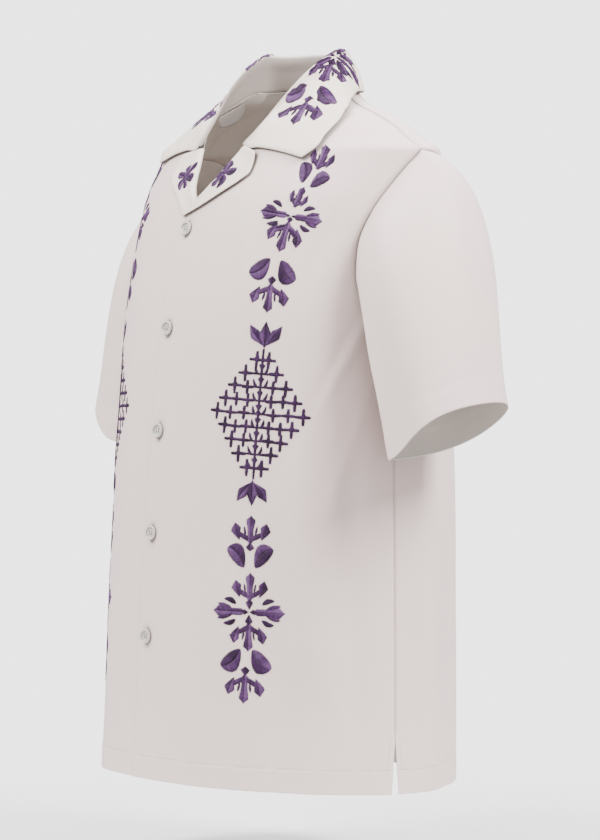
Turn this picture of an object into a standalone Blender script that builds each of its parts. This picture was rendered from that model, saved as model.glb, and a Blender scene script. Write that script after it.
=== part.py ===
"""Short-sleeved camp-collar shirt, filled out as if worn, built from its cut and sewn pieces.

Metres, +Z up, the front faces -Y and the wearer's left is +X. The origin lies at the base of
the neck, level with the inner ends of the shoulder seams, where the wearer carries the shirt.
The tables are in centimetres, with heights measured up from the hem.
"""

import bmesh
import bpy
import math
import numpy as np
from collections import namedtuple
from mathutils import Matrix, Vector

CM = 0.01


def rows(kind, table):
    """A table whose rows carry named columns."""
    return tuple(kind(*row) for row in table)


# Cloth and seams
CLOTH = 0.15
SEAM_GAP = 0.03
SEAM_EASE = 0.055
FRONT_LAP = 1.5
TUCK = 0.25
TUCK_END = 8.0

# Heights of the shirt's main lines
UNDERARM_HEIGHT = 46.5
SHOULDER_HEIGHT = 64.2
NECK_HEIGHT = 70.8
RIDGE_Y = 3.0
VENT_HEIGHT = 5.7
VENT_SPREAD = 1.5
SIDE_DEPTH = 16.0

# The body of the shirt as rings: the side column is where along Y the ring is widest
Ring = namedtuple("Ring", "height half_width front back side square")
RINGS = rows(Ring, (
    (0.0, 21.6, -16.9, 15.3, -0.2, 0.020),
    (10.0, 21.4, -16.3, 15.5, -0.1, 0.020),
    (20.0, 21.2, -15.8, 15.6, 0.0, 0.020),
    (30.0, 21.1, -15.1, 15.5, 0.0, 0.020),
    (40.0, 21.0, -14.2, 15.1, 0.2, 0.024),
    (47.0, 21.0, -13.4, 14.5, 0.5, 0.028),
    (54.0, 21.2, -11.9, 13.6, 1.3, 0.030),
    (59.4, 21.5, -10.2, 12.4, 2.2, 0.032),
    (64.2, 21.4, -7.4, 10.6, 3.0, 0.032),
    (65.4, 19.1, -6.7, 10.0, 3.0, 0.025),
    (66.7, 16.8, -5.9, 9.3, 3.0, 0.020),
    (67.9, 13.7, -5.0, 8.6, 3.0, 0.010),
    (69.5, 9.0, -3.3, 7.6, 3.0, 0.000),
    (71.3, 6.9, -2.4, 6.6, 3.0, 0.000),
))
HEM_RISE = 0.6
HEM_RISE_END = 12.0

# Broad soft folds: each runs up the cloth from its low end and leans round the body as it climbs
Fold = namedtuple("Fold", "angle low high lean width depth")
FOLDS = rows(Fold, (
    (62.0, 8.0, 44.0, -0.35, 7.0, 0.40),
    (76.0, 2.0, 40.0, -0.10, 5.0, -0.30),
    (50.0, -6.0, 24.0, 0.10, 6.0, -0.25),
    (24.0, -6.0, 30.0, 0.12, 7.0, 0.22),
    (104.0, -4.0, 42.0, 0.12, 6.0, 0.45),
    (122.0, -8.0, 38.0, 0.10, 7.0, -0.35),
    (146.0, -8.0, 46.0, 0.08, 8.0, 0.45),
    (168.0, -6.0, 34.0, 0.10, 7.0, -0.30),
    (196.0, -8.0, 44.0, -0.08, 8.0, 0.40),
    (222.0, -6.0, 40.0, -0.10, 7.0, -0.35),
    (250.0, -6.0, 42.0, -0.12, 7.0, 0.45),
    (290.0, 4.0, 42.0, 0.25, 6.0, 0.35),
    (308.0, -6.0, 26.0, -0.10, 6.0, -0.22),
    (334.0, -6.0, 32.0, -0.12, 7.0, 0.20),
))

FOLD_FADE_TOP = 16.0
FOLD_FADE_FOOT = 8.0

# The armhole seam: angle away from the side of the body, and height, underarm to shoulder
Hole = namedtuple("Hole", "front_angle front_height back_angle back_height")
ARMHOLE = rows(Hole, (
    (0.0, 46.5, 0.0, 46.5),
    (8.5, 47.2, 11.0, 47.6),
    (16.0, 49.2, 19.0, 50.2),
    (20.5, 52.0, 23.5, 53.6),
    (21.5, 55.0, 25.0, 57.0),
    (19.0, 58.0, 26.0, 60.2),
    (14.0, 60.4, 23.5, 62.6),
    (8.0, 62.5, 15.0, 63.8),
    (0.0, 64.2, 0.0, 64.2),
))
ARMHOLE_STEPS = 12

# Edge of a front from the underarm level up: the lap, the roll of the lapel, the neck seam
Place = namedtuple("Place", "x height")
FRONT_EDGE = rows(Place, (
    (-1.5, 46.5),
    (-1.5, 50.0),
    (-1.5, 53.8),
    (-1.5, 57.6),
    (-0.2, 59.5),
    (1.15, 61.4),
    (2.5, 63.4),
    (3.8, 65.3),
    (5.0, 66.6),
    (6.0, 67.8),
    (6.8, 69.0),
    (7.1, 70.1),
    (7.2, 70.8),
))
NOTCH_STEP = 7

# Lapel: where it rolls and where its outer edge lies, from the top button to the notch
Station = namedtuple("Station", "roll_x roll_height edge_x edge_height")
LAPEL = rows(Station, (
    (-1.35, 57.82, -1.0, 57.75),
    (-0.65, 58.85, 1.2, 58.75),
    (0.35, 60.25, 3.7, 60.0),
    (1.3, 61.65, 5.8, 61.0),
    (2.3, 63.1, 7.5, 62.1),
    (3.05, 64.2, 7.1, 63.3),
    (3.7, 65.1, 6.1, 64.3),
))
UNDER_LAPEL_START = Station(0.45, 60.4, 1.5, 59.25)
Wrap = namedtuple("Wrap", "inset share lift")
LAPEL_WRAP = rows(Wrap, (
    (-0.17, 0.0, 0.0),
    (-0.15, 0.0, 0.15),
    (0.0, 0.03, 0.28),
    (0.0, 0.35, 0.27),
    (0.0, 0.70, 0.23),
    (0.0, 1.0, 0.21),
))

# Collar stations from the notch, 0, past the shoulder seam, 5, to the middle of the back, 12:
# the fold as a place in space and the outer edge as a place raised off the body
Fall = namedtuple("Fall", "station fold_x fold_y fold_height edge_angle edge_height edge_lift")
COLLAR = rows(Fall, (
    (0.0, 3.55, -6.68, 65.62, 36.0, 63.5, 0.50),
    (1.0, 4.6, -5.3, 67.3, 40.2, 64.7, 0.50),
    (2.0, 5.2, -3.9, 69.3, 50.0, 66.6, 0.50),
    (3.0, 5.9, -2.4, 71.2, 67.0, 68.3, 0.50),
    (4.0, 6.4, -0.3, 73.1, 86.0, 69.3, 0.70),
    (5.0, 6.7, 2.2, 74.3, 100.0, 70.0, 0.70),
    (7.2, 5.7, 4.2, 74.6, 126.0, 70.2, 0.55),
    (9.5, 3.3, 5.5, 74.65, 154.0, 70.3, 0.55),
    (12.0, 0.0, 6.0, 74.6, 180.0, 70.4, 0.55),
))
FOLD_WIDTH = 0.5
FALL_BULGE = 0.25
FALL_CLEARANCE = 0.36
FOLD_DROP = 0.2
FOLD_DROP_SHARE = 0.1
FOLD_DROP_MOST = 0.45
CREST_SHARE = 0.45
CREST_RISE = 0.1
BULGE_RISE = 0.6
STAND_SHARES = (0.5, 0.9)
FALL_SHARES = (0.0, 0.25, 0.5, 0.75, 1.0)

# Sleeve
CUFF_CENTRE = (28.9, 1.2, 36.5)
CUFF_HALF_WIDTH = 5.1
CUFF_HALF_DEPTH = 5.7
CUFF_OUTER_RISE = 2.7
CUFF_BACK_RISE = 0.7
CUFF_SQUARE = 0.06
SLEEVE_LEAN = Vector((0.34, 0.0, -0.94))
SLEEVE_ROWS = 11
CAP_FLARE = 0.7
CAP_DROP = 0.30
CAP_DROP_TOP = 0.05
CAP_PULL = 0.50
CAP_PULL_TOP = 0.45
CUFF_PULL = 0.9

# Buttons
BUTTON_HEIGHTS = (56.4, 46.3, 35.9, 25.5, 15.0)
BUTTON_RADIUS = 0.70
BUTTON_THICKNESS = 0.26
BUTTON_SIDES = 20
Turned = namedtuple("Turned", "radius level")
BUTTON_PROFILE = rows(Turned, (
    (0.0, 0.0),
    (0.82, 0.0),
    (1.0, 0.35),
    (0.98, 0.8),
    (0.86, 1.0),
    (0.72, 0.9),
    (0.62, 0.62),
    (0.0, 0.58),
))

# Inner neck tab
TAB_LOW_END = Vector((6.6, 68.2))
TAB_HIGH_END = Vector((7.3, 69.8))
TAB_DEPTH = 1.4
TAB_END_DEPTH = 0.35
TAB_LEAN = Vector((0.12, 0.0, -1.0))
TAB_LIFT = -0.26
TAB_POINTS = 9
TAB_SHARES = (0.0, 0.5, 1.0)

# Mesh density
LOWER_ROWS = 15
FRONT_COLUMNS = 13
BACK_COLUMNS = 20
BACK_SHOULDER_SHARE = 0.3

CLOTH_COLOUR = (0.80, 0.76, 0.72, 1.0)
BUTTON_COLOUR = (0.83, 0.79, 0.74, 1.0)
CLOTH_ROUGHNESS = 0.75
BUTTON_ROUGHNESS = 0.35
SMOOTH_ANGLE = 40.0


def clear_scene():
    """Remove whatever the file holds."""
    for item in list(bpy.data.objects):
        bpy.data.objects.remove(item, do_unlink=True)


def tangents(xs, ys):
    """Slopes of a smooth curve through the points that never overshoots them."""
    steps = np.diff(xs)
    rises = np.diff(ys) / steps
    slopes = np.zeros(len(xs))
    slopes[0] = rises[0]
    slopes[-1] = rises[-1]
    for i in range(1, len(xs) - 1):
        if rises[i - 1] * rises[i] > 0.0:
            near = 2.0 * steps[i] + steps[i - 1]
            far = steps[i] + 2.0 * steps[i - 1]
            slopes[i] = (near + far) / (near / rises[i - 1] + far / rises[i])
    return slopes


class Curve:
    """A table read smoothly: every column as a function of the first or of the row number."""

    def __init__(self, table, by_row_number=False):
        self.kind = type(table[0])
        self.values = np.array(table, dtype=float)
        self.keys = np.linspace(0.0, 1.0, len(table)) if by_row_number else self.values[:, 0]
        self.slopes = np.array([tangents(self.keys, column) for column in self.values.T]).T

    def at(self, key):
        """All columns at one key, held at the end values outside the table."""
        key = min(max(key, self.keys[0]), self.keys[-1])
        i = min(int(np.searchsorted(self.keys, key, side="right")) - 1, len(self.keys) - 2)
        span = self.keys[i + 1] - self.keys[i]
        t = (key - self.keys[i]) / span
        low, high = self.values[i], self.values[i + 1]
        rise_low, rise_high = self.slopes[i] * span, self.slopes[i + 1] * span
        return self.kind(*(low * (1 + 2 * t) * (1 - t) ** 2 + rise_low * t * (1 - t) ** 2
                           + high * t * t * (3 - 2 * t) + rise_high * t * t * (t - 1)))


RING_CURVE = Curve(RINGS)
ARMHOLE_CURVE = Curve(ARMHOLE, by_row_number=True)
COLLAR_CURVE = Curve(COLLAR)


def smooth_step(low, high, value):
    """0 below low, 1 above high and a soft ramp between."""
    t = min(max((value - low) / (high - low), 0.0), 1.0)
    return t * t * (3.0 - 2.0 * t)


def fold_depth(angle, height):
    """How far the broad folds push the cloth out at this place."""
    total = 0.0
    for fold in FOLDS:
        middle = fold.angle + fold.lean * (height - fold.low)
        across = (angle % 360.0 - middle) / fold.width
        fade = smooth_step(fold.high, fold.high - FOLD_FADE_TOP, height)
        fade *= smooth_step(fold.low - 1.0, fold.low + FOLD_FADE_FOOT, height)
        total += fold.depth * math.exp(-across * across) * fade
    return total


def body(angle, height):
    """A place on the body: angle round it from the middle front towards the wearer's left."""
    ring = RING_CURVE.at(height)
    turn = math.radians(angle)
    swell = 1.0 + ring.square * math.sin(2.0 * turn) ** 2
    across = ring.half_width * math.sin(turn) * swell
    depth = ring.side - ring.front if math.cos(turn) >= 0.0 else ring.back - ring.side
    along = ring.side - depth * math.cos(turn) * swell
    out = Vector((math.sin(turn), -math.cos(turn), 0.0))
    return Vector((across, along, height)) + out * fold_depth(angle, height)


def body_normal(angle, height):
    """The cloth's outward direction at a place on the body."""
    round_it = body(angle + 0.5, height) - body(angle - 0.5, height)
    up = body(angle, height + 0.2) - body(angle, height - 0.2)
    return round_it.cross(up).normalized()


def angle_at(x, height):
    """Angle of the front place that lies x from the middle at this height."""
    low, high = -90.0, 90.0
    for _ in range(36):
        middle = 0.5 * (low + high)
        if body(middle, height).x < x:
            low = middle
        else:
            high = middle
    return 0.5 * (low + high)


def wall(name, points, normals=None, closed=False):
    """Cloth of even thickness through a grid of points, its outer face along the normals."""
    count, columns = len(points), len(points[0])
    if normals is None:
        normals = grid_normals(points, closed)
    mesh = bmesh.new()
    outer, inner = [], []
    for row, row_normals in zip(points, normals):
        outer.append([mesh.verts.new((p + n * CLOTH / 2) * CM) for p, n in zip(row, row_normals)])
        inner.append([mesh.verts.new((p - n * CLOTH / 2) * CM) for p, n in zip(row, row_normals)])
    spans = columns if closed else columns - 1
    for i in range(count - 1):
        for j in range(spans):
            k = (j + 1) % columns
            mesh.faces.new((outer[i][j], outer[i][k], outer[i + 1][k], outer[i + 1][j]))
            mesh.faces.new((inner[i][j], inner[i + 1][j], inner[i + 1][k], inner[i][k]))
    for j in range(spans):
        k = (j + 1) % columns
        mesh.faces.new((outer[0][k], outer[0][j], inner[0][j], inner[0][k]))
        mesh.faces.new((outer[-1][j], outer[-1][k], inner[-1][k], inner[-1][j]))
    if not closed:
        for i in range(count - 1):
            mesh.faces.new((outer[i][0], outer[i + 1][0], inner[i + 1][0], inner[i][0]))
            mesh.faces.new((outer[i + 1][-1], outer[i][-1], inner[i][-1], inner[i + 1][-1]))
    return finish(name, mesh, CLOTH_COLOUR, CLOTH_ROUGHNESS)


def grid_normals(points, closed):
    """Outward directions worked out from a grid whose rows climb and columns go round."""
    count, columns = len(points), len(points[0])
    normals = []
    for i in range(count):
        row = []
        for j in range(columns):
            before = (j - 1) % columns if closed else max(j - 1, 0)
            after = (j + 1) % columns if closed else min(j + 1, columns - 1)
            along = points[i][after] - points[i][before]
            up = points[min(i + 1, count - 1)][j] - points[max(i - 1, 0)][j]
            row.append(along.cross(up).normalized())
        normals.append(row)
    return normals


def finish(name, mesh, colour, roughness):
    """Turn the mesh into a smooth-shaded object at the shirt's origin, with its own material."""
    bmesh.ops.translate(mesh, verts=mesh.verts, vec=Vector((0.0, -RIDGE_Y, -NECK_HEIGHT)) * CM)
    bmesh.ops.recalc_face_normals(mesh, faces=mesh.faces)
    data = bpy.data.meshes.new(name)
    mesh.to_mesh(data)
    mesh.free()
    data.shade_smooth()
    data.set_sharp_from_angle(angle=math.radians(SMOOTH_ANGLE))
    material = bpy.data.materials.new(name)
    material.use_nodes = True
    shader = material.node_tree.nodes["Principled BSDF"]
    shader.inputs["Base Color"].default_value = colour
    shader.inputs["Roughness"].default_value = roughness
    shader.inputs["Metallic"].default_value = 0.0
    data.materials.append(material)
    item = bpy.data.objects.new(name, data)
    bpy.context.scene.collection.objects.link(item)
    return item


def mirrored(point):
    """The same place on the wearer's right."""
    return Vector((-point.x, point.y, point.z))


def side_shift(height):
    """Half the space between the panels' side edges, as an angle: a seam, then the open vent."""
    seam = math.degrees(0.5 * SEAM_GAP / SIDE_DEPTH)
    return seam + VENT_SPREAD * max(0.0, 1.0 - height / VENT_HEIGHT)


def lower_heights():
    """Row heights from the hem to the underarm, closer together at the vent."""
    first = (0.0, VENT_HEIGHT / 2.0, VENT_HEIGHT)
    rest = np.linspace(VENT_HEIGHT, UNDERARM_HEIGHT, LOWER_ROWS - 1)[1:]
    return list(first) + [float(height) for height in rest]


def armhole_place(step, on_back):
    """Angle and height on the armhole seam, step 0 at the underarm."""
    hole = ARMHOLE_CURVE.at(step / ARMHOLE_STEPS)
    if on_back:
        return 90.0 + hole.back_angle, hole.back_height
    return 90.0 - hole.front_angle, hole.front_height


def tuck_depth(x):
    """How far the under-lap of the right front lies inside the left front."""
    return TUCK * (1.0 - smooth_step(FRONT_LAP, TUCK_END, x))


def hem_rise(angle, height):
    """How far the front of the hem rides up, fading out above it."""
    return HEM_RISE * max(0.0, math.cos(math.radians(angle))) * max(0.0, 1 - height / HEM_RISE_END)


def front_places(side):
    """Angle and height of each grid point of a front, side 1 for the wearer's left."""
    places = []
    for height in lower_heights():
        start = side * angle_at(-side * FRONT_LAP, height)
        end = 90.0 - side_shift(height)
        places.append([(float(angle), height + hem_rise(angle, height))
                       for angle in np.linspace(start, end, FRONT_COLUMNS)])
    last_angle = 90.0 - side_shift(UNDERARM_HEIGHT)
    for step in range(1, ARMHOLE_STEPS + 1):
        x, height = FRONT_EDGE[step]
        start = last_angle
        if step < ARMHOLE_STEPS:
            start = side * angle_at(side * x, height)
        hole_angle, hole_height = armhole_place(step, False)
        hole_angle = min(hole_angle, last_angle)
        places.append([(start + (hole_angle - start) * u, height + (hole_height - height) * u)
                       for u in np.linspace(0.0, 1.0, FRONT_COLUMNS)])
    return places


def build_front(name, side):
    """A front panel from the hem to the shoulder seam; the right one is tucked under at its lap."""
    points, normals = [], []
    for row in front_places(side):
        row_normals = [body_normal(side * angle, height) for angle, height in row]
        row_points = [body(side * angle, height) for angle, height in row]
        if side < 0:
            row_points = [p - n * tuck_depth(-p.x) for p, n in zip(row_points, row_normals)]
        points.append(row_points)
        normals.append(row_normals)
    return wall(name, points, normals)


def back_place(share, step):
    """Angle and height in the upper left half of the back, share 0 at the armhole, 1 mid-back."""
    v = step / ARMHOLE_STEPS
    hole_angle, hole_height = armhole_place(step, True)
    nape = RINGS[-1].height
    middle_height = UNDERARM_HEIGHT + (nape - UNDERARM_HEIGHT) * v
    if share < BACK_SHOULDER_SHARE:
        top_turn = 0.0
        top_climb = (NECK_HEIGHT - SHOULDER_HEIGHT) * share / BACK_SHOULDER_SHARE
    else:
        top_turn = (share - BACK_SHOULDER_SHARE) / (1.0 - BACK_SHOULDER_SHARE)
        top_climb = NECK_HEIGHT - SHOULDER_HEIGHT + (nape - NECK_HEIGHT) * top_turn
    top_climb /= nape - SHOULDER_HEIGHT
    late = v ** 3
    turn = share + late * (top_turn - share)
    climb = share + late * (top_climb - share)
    return (hole_angle + (180.0 - hole_angle) * turn,
            hole_height + (middle_height - hole_height) * climb)


def build_back():
    """The back in one piece, from one side seam to the other."""
    first = 90.0 + side_shift(UNDERARM_HEIGHT)
    places = []
    for height in lower_heights():
        start = 90.0 + side_shift(height)
        places.append([(float(angle), height)
                       for angle in np.linspace(start, 360.0 - start, BACK_COLUMNS + 1)])
    for step in range(1, ARMHOLE_STEPS + 1):
        row = []
        for j in range(BACK_COLUMNS + 1):
            share = 1.0 - abs(1.0 - 2.0 * j / BACK_COLUMNS)
            angle, height = back_place(share, step)
            angle = max(angle, first)
            row.append((angle if 2 * j <= BACK_COLUMNS else 360.0 - angle, height))
        places.append(row)
    points = [[body(angle, height) for angle, height in row] for row in places]
    normals = [[body_normal(angle, height) for angle, height in row] for row in places]
    return wall("back", points, normals)


def seam_start(point, normal, direction):
    """Where a piece begins beside a panel's edge, so that the two walls stay a seam apart."""
    way = direction.normalized()
    return point + way * (SEAM_EASE + CLOTH / 2 * abs(way.dot(normal)))


def hermite(start, leave, end, arrive, t):
    """A point on the smooth curve between two places with these end directions."""
    return (start * ((1 + 2 * t) * (1 - t) ** 2) + leave * (t * (1 - t) ** 2)
            + end * (t * t * (3 - 2 * t)) + arrive * (t * t * (t - 1)))


def cuff_point(turn):
    """A place on the left cuff's rim: turn 0 against the body, a quarter turn at the front."""
    x, y, height = CUFF_CENTRE
    swell = 1.0 + CUFF_SQUARE * math.sin(2.0 * turn) ** 2
    inner, front = swell * math.cos(turn), swell * math.sin(turn)
    return Vector((x - CUFF_HALF_WIDTH * inner, y - CUFF_HALF_DEPTH * front,
                   height - CUFF_OUTER_RISE * inner - CUFF_BACK_RISE * front))


def sleeve_column(step, side):
    """Points down one line of a sleeve from the armhole to the cuff."""
    around = 2 * ARMHOLE_STEPS
    on_back = step > ARMHOLE_STEPS
    angle, height = armhole_place(around - step if on_back else step, on_back)
    seam = body(side * angle, height)
    normal = body_normal(side * angle, height)
    if side < 0:
        seam, normal = mirrored(seam), mirrored(normal)
    turn = 2.0 * math.pi * step / around
    top = 0.5 - 0.5 * math.cos(turn)
    drop = CAP_DROP + CAP_DROP_TOP * top
    leave = Vector((1.0, -CAP_FLARE * math.sin(turn), -drop)).normalized()
    start = seam_start(seam, normal, leave)
    end = cuff_point(turn)
    length = (end - start).length
    leave *= length * (CAP_PULL + CAP_PULL_TOP * top)
    arrive = SLEEVE_LEAN.normalized() * length * CUFF_PULL
    points = [hermite(start, leave, end, arrive, i / SLEEVE_ROWS) for i in range(SLEEVE_ROWS + 1)]
    return points if side > 0 else [mirrored(point) for point in points]


def build_sleeve(name, side):
    """A short sleeve as one tube, open at the armhole and at the cuff."""
    columns = [sleeve_column(step, side) for step in range(2 * ARMHOLE_STEPS)]
    points = [[column[i] for column in columns] for i in range(SLEEVE_ROWS + 1)]
    return wall(name, points, closed=True)


def front_point(side, x, height, lift):
    """A place on a front at this distance from the middle, raised off the cloth."""
    angle = angle_at(side * x, height)
    return body(angle, height) + body_normal(angle, height) * (lift - (tuck_depth(x) if side < 0 else 0.0))


def build_lapel(name, side):
    """The turned-out top of a front facing, wrapped round the roll and laid on the front."""
    stations = list(LAPEL)
    if side < 0:
        stations = [UNDER_LAPEL_START] + stations[2:]
    points = []
    for station in stations:
        roll = Vector((station.roll_x, station.roll_height))
        across = Vector((station.edge_x, station.edge_height)) - roll
        row = []
        for wrap in LAPEL_WRAP:
            place = roll + across.normalized() * (wrap.inset + wrap.share * across.length)
            row.append(front_point(side, place.x, place.y, wrap.lift))
        points.append(row)
    return wall(name, points)


def neck_place(station):
    """Angle and height on the left half of the neck seam: the front's edge, then the back's."""
    shoulder = ARMHOLE_STEPS - NOTCH_STEP
    if station <= shoulder:
        x, height = FRONT_EDGE[NOTCH_STEP + station]
        return (90.0 if station == shoulder else angle_at(x, height)), height
    share = BACK_SHOULDER_SHARE + (station - shoulder) * 2.0 / BACK_COLUMNS
    return back_place(share, ARMHOLE_STEPS)


def collar_section(station):
    """Points across the left half of the collar: up the stand, over the fold, down the fall."""
    fall = COLLAR_CURVE.at(station)
    seam_angle, seam_height = neck_place(station)
    seam = body(seam_angle, seam_height)
    normal = body_normal(seam_angle, seam_height)
    fold = Vector((fall.fold_x, fall.fold_y, fall.fold_height))
    edge = body(fall.edge_angle, fall.edge_height)
    edge += body_normal(fall.edge_angle, fall.edge_height) * fall.edge_lift
    stand = seam_start(seam, normal, fold - seam)
    out = edge - fold
    out.z = 0.0
    out.normalize()
    drop = min(FOLD_DROP_MOST, FOLD_DROP + FOLD_DROP_SHARE * (fold.z - stand.z))
    fall_start = fold + out * FOLD_WIDTH - Vector((0.0, 0.0, drop))
    crest = fold + out * FOLD_WIDTH * CREST_SHARE + Vector((0.0, 0.0, CREST_RISE))
    points = [stand] + [stand.lerp(fold, share) for share in STAND_SHARES] + [crest]
    bulge_way = (out + Vector((0.0, 0.0, BULGE_RISE))).normalized()
    for t in FALL_SHARES:
        spot = fall_start.lerp(edge, t) + bulge_way * FALL_BULGE * 4.0 * t * (1.0 - t)
        points.append(raised_clear(spot, FALL_CLEARANCE))
    return points


def raised_clear(point, clearance):
    """The point itself, or one moved out so that it clears the left front by this much."""
    angle = angle_at(point.x, point.z)
    normal = body_normal(angle, point.z)
    depth = (point - body(angle, point.z)).dot(normal)
    if point.y > RIDGE_Y or depth > clearance:
        return point
    return point + normal * (clearance - depth)


def build_collar():
    """The collar in one piece, its ends at the two notches."""
    half = [collar_section(station) for station in range(int(COLLAR[-1].station) + 1)]
    other = [[mirrored(point) for point in section] for section in half[:-1]]
    sections = half + other[::-1]
    points = [[section[i] for section in sections] for i in range(len(sections[0]))]
    return wall("collar", points)


def build_tab():
    """The small half-round tab that hangs inside the right front from the neck seam."""
    points = [[] for _ in TAB_SHARES]
    for u in np.linspace(0.0, 1.0, TAB_POINTS):
        place = TAB_LOW_END.lerp(TAB_HIGH_END, float(u))
        top = front_point(-1, place.x, place.y, TAB_LIFT)
        depth = TAB_END_DEPTH + (TAB_DEPTH - TAB_END_DEPTH) * math.sqrt(4.0 * float(u - u * u))
        for row, share in zip(points, TAB_SHARES):
            row.append(top + TAB_LEAN.normalized() * depth * share)
    return wall("neck_tab", points)


def build_button(name, height):
    """A round button with a raised rim, lying on the left front."""
    normal = body_normal(0.0, height)
    seat = body(0.0, height) + normal * (CLOTH / 2 + SEAM_GAP)
    turn = Vector((0.0, 0.0, 1.0)).rotation_difference(normal).to_matrix().to_4x4()
    frame = Matrix.Translation(seat) @ turn
    mesh = bmesh.new()
    rings = []
    for radius, level in BUTTON_PROFILE:
        count = 1 if radius == 0.0 else BUTTON_SIDES
        ring = []
        for i in range(count):
            at = 2.0 * math.pi * i / BUTTON_SIDES
            spot = Vector((radius * BUTTON_RADIUS * math.cos(at),
                           radius * BUTTON_RADIUS * math.sin(at), level * BUTTON_THICKNESS))
            ring.append(mesh.verts.new((frame @ spot) * CM))
        rings.append(ring)
    for below, above in zip(rings, rings[1:]):
        for i in range(BUTTON_SIDES):
            k = (i + 1) % BUTTON_SIDES
            corners = [below[i % len(below)], below[k % len(below)],
                       above[k % len(above)], above[i % len(above)]]
            mesh.faces.new(list(dict.fromkeys(corners)))
    return finish(name, mesh, BUTTON_COLOUR, BUTTON_ROUGHNESS)


def build_shirt():
    """Make every piece of the shirt."""
    clear_scene()
    build_front("front_left", 1)
    build_front("front_right", -1)
    build_back()
    build_sleeve("sleeve_left", 1)
    build_sleeve("sleeve_right", -1)
    build_lapel("lapel_left", 1)
    build_lapel("lapel_right", -1)
    build_collar()
    build_tab()
    for number, height in enumerate(BUTTON_HEIGHTS, start=1):
        build_button(f"button_{number}", height)


build_shirt()
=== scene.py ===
"""Embroidered camp-collar shirt, filled out as worn: cloth, sewing, buttons and embroidery.

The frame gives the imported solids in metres. The garment's own tables are in centimetres, with
heights measured up from the hem, x towards the wearer's left and the front facing -Y.
"""

import logging
import math
from collections import namedtuple
from dataclasses import dataclass, field
from enum import Enum
from typing import Callable, NamedTuple, Sequence

import bpy
import numpy as np
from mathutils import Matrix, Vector

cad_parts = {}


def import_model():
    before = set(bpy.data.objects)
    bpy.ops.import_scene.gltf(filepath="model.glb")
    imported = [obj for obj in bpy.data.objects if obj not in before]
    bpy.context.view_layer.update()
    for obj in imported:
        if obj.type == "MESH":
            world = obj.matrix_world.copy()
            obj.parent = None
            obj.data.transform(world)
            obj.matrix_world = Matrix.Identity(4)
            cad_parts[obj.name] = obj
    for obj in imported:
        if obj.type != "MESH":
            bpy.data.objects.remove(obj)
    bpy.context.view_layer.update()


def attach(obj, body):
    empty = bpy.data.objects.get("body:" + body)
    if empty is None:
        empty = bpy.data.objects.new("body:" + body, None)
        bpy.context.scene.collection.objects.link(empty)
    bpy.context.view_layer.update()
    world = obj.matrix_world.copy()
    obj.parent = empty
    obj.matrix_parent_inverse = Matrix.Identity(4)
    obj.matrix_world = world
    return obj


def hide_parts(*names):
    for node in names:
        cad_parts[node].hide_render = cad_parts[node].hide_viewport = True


LOG = logging.getLogger("embroidered_shirt")

# Units and the shirt's own lines
CM = 0.01
RIDGE_Y = 3.0
NECK_HEIGHT = 70.8
SHOULDER_HEIGHT = 64.2
UNDERARM_HEIGHT = 46.5
VENT_HEIGHT = 5.7
VENT_SPREAD = 1.5
SIDE_DEPTH = 16.0
SEAM_GAP = 0.03
SEAM_EASE = 0.055
WALL = 0.15
FRONT_LAP = 1.5
TUCK = 0.25
TUCK_END = 8.0
HEM_RISE = 0.6
HEM_RISE_END = 12.0
HEM_DEPTH = 2.4

Array = np.ndarray


def read_rows(kind: type, rows: Sequence[tuple]) -> tuple:
    """The rows of a table, each as the named tuple that says what its columns are."""
    return tuple(kind(*row) for row in rows)


# The worn body's cross sections from the hem up: half width, depths of front, back and side line,
# and how square the oval is
Ring = namedtuple("Ring", "height half_width front back side square")
RINGS = read_rows(Ring, (
    (0, 21.6, -16.9, 15.3, -0.2, 0.02),
    (10, 21.4, -16.3, 15.5, -0.1, 0.02),
    (20, 21.2, -15.8, 15.6, 0, 0.02),
    (30, 21.1, -15.1, 15.5, 0, 0.02),
    (40, 21, -14.2, 15.1, 0.2, 0.024),
    (47, 21, -13.4, 14.5, 0.5, 0.028),
    (54, 21.2, -11.9, 13.6, 1.3, 0.03),
    (59.4, 21.5, -10.2, 12.4, 2.2, 0.032),
    (64.2, 21.4, -7.4, 10.6, 3, 0.032),
    (65.4, 19.1, -6.7, 10, 3, 0.025),
    (66.7, 16.8, -5.9, 9.3, 3, 0.02),
    (67.9, 13.7, -5, 8.6, 3, 0.01),
    (69.5, 9, -3.3, 7.6, 3, 0),
    (71.3, 6.9, -2.4, 6.6, 3, 0),
))

# Broad folds that the solids have too: angle round the body, height span, lean, width and depth
Fold = namedtuple("Fold", "angle low high lean width depth")
BROAD_FOLDS = read_rows(Fold, (
    (62, 8, 44, -0.35, 7, 0.4),
    (76, 2, 40, -0.1, 5, -0.3),
    (50, -6, 24, 0.1, 6, -0.25),
    (24, -6, 30, 0.12, 7, 0.22),
    (104, -4, 42, 0.12, 6, 0.45),
    (122, -8, 38, 0.1, 7, -0.35),
    (146, -8, 46, 0.08, 8, 0.45),
    (168, -6, 34, 0.1, 7, -0.3),
    (196, -8, 44, -0.08, 8, 0.4),
    (222, -6, 40, -0.1, 7, -0.35),
    (250, -6, 42, -0.12, 7, 0.45),
    (290, 4, 42, 0.25, 6, 0.35),
    (308, -6, 26, -0.1, 6, -0.22),
    (334, -6, 32, -0.12, 7, 0.2),
))
FOLD_FADE_TOP = 16.0
FOLD_FADE_FOOT = 8.0

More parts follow.
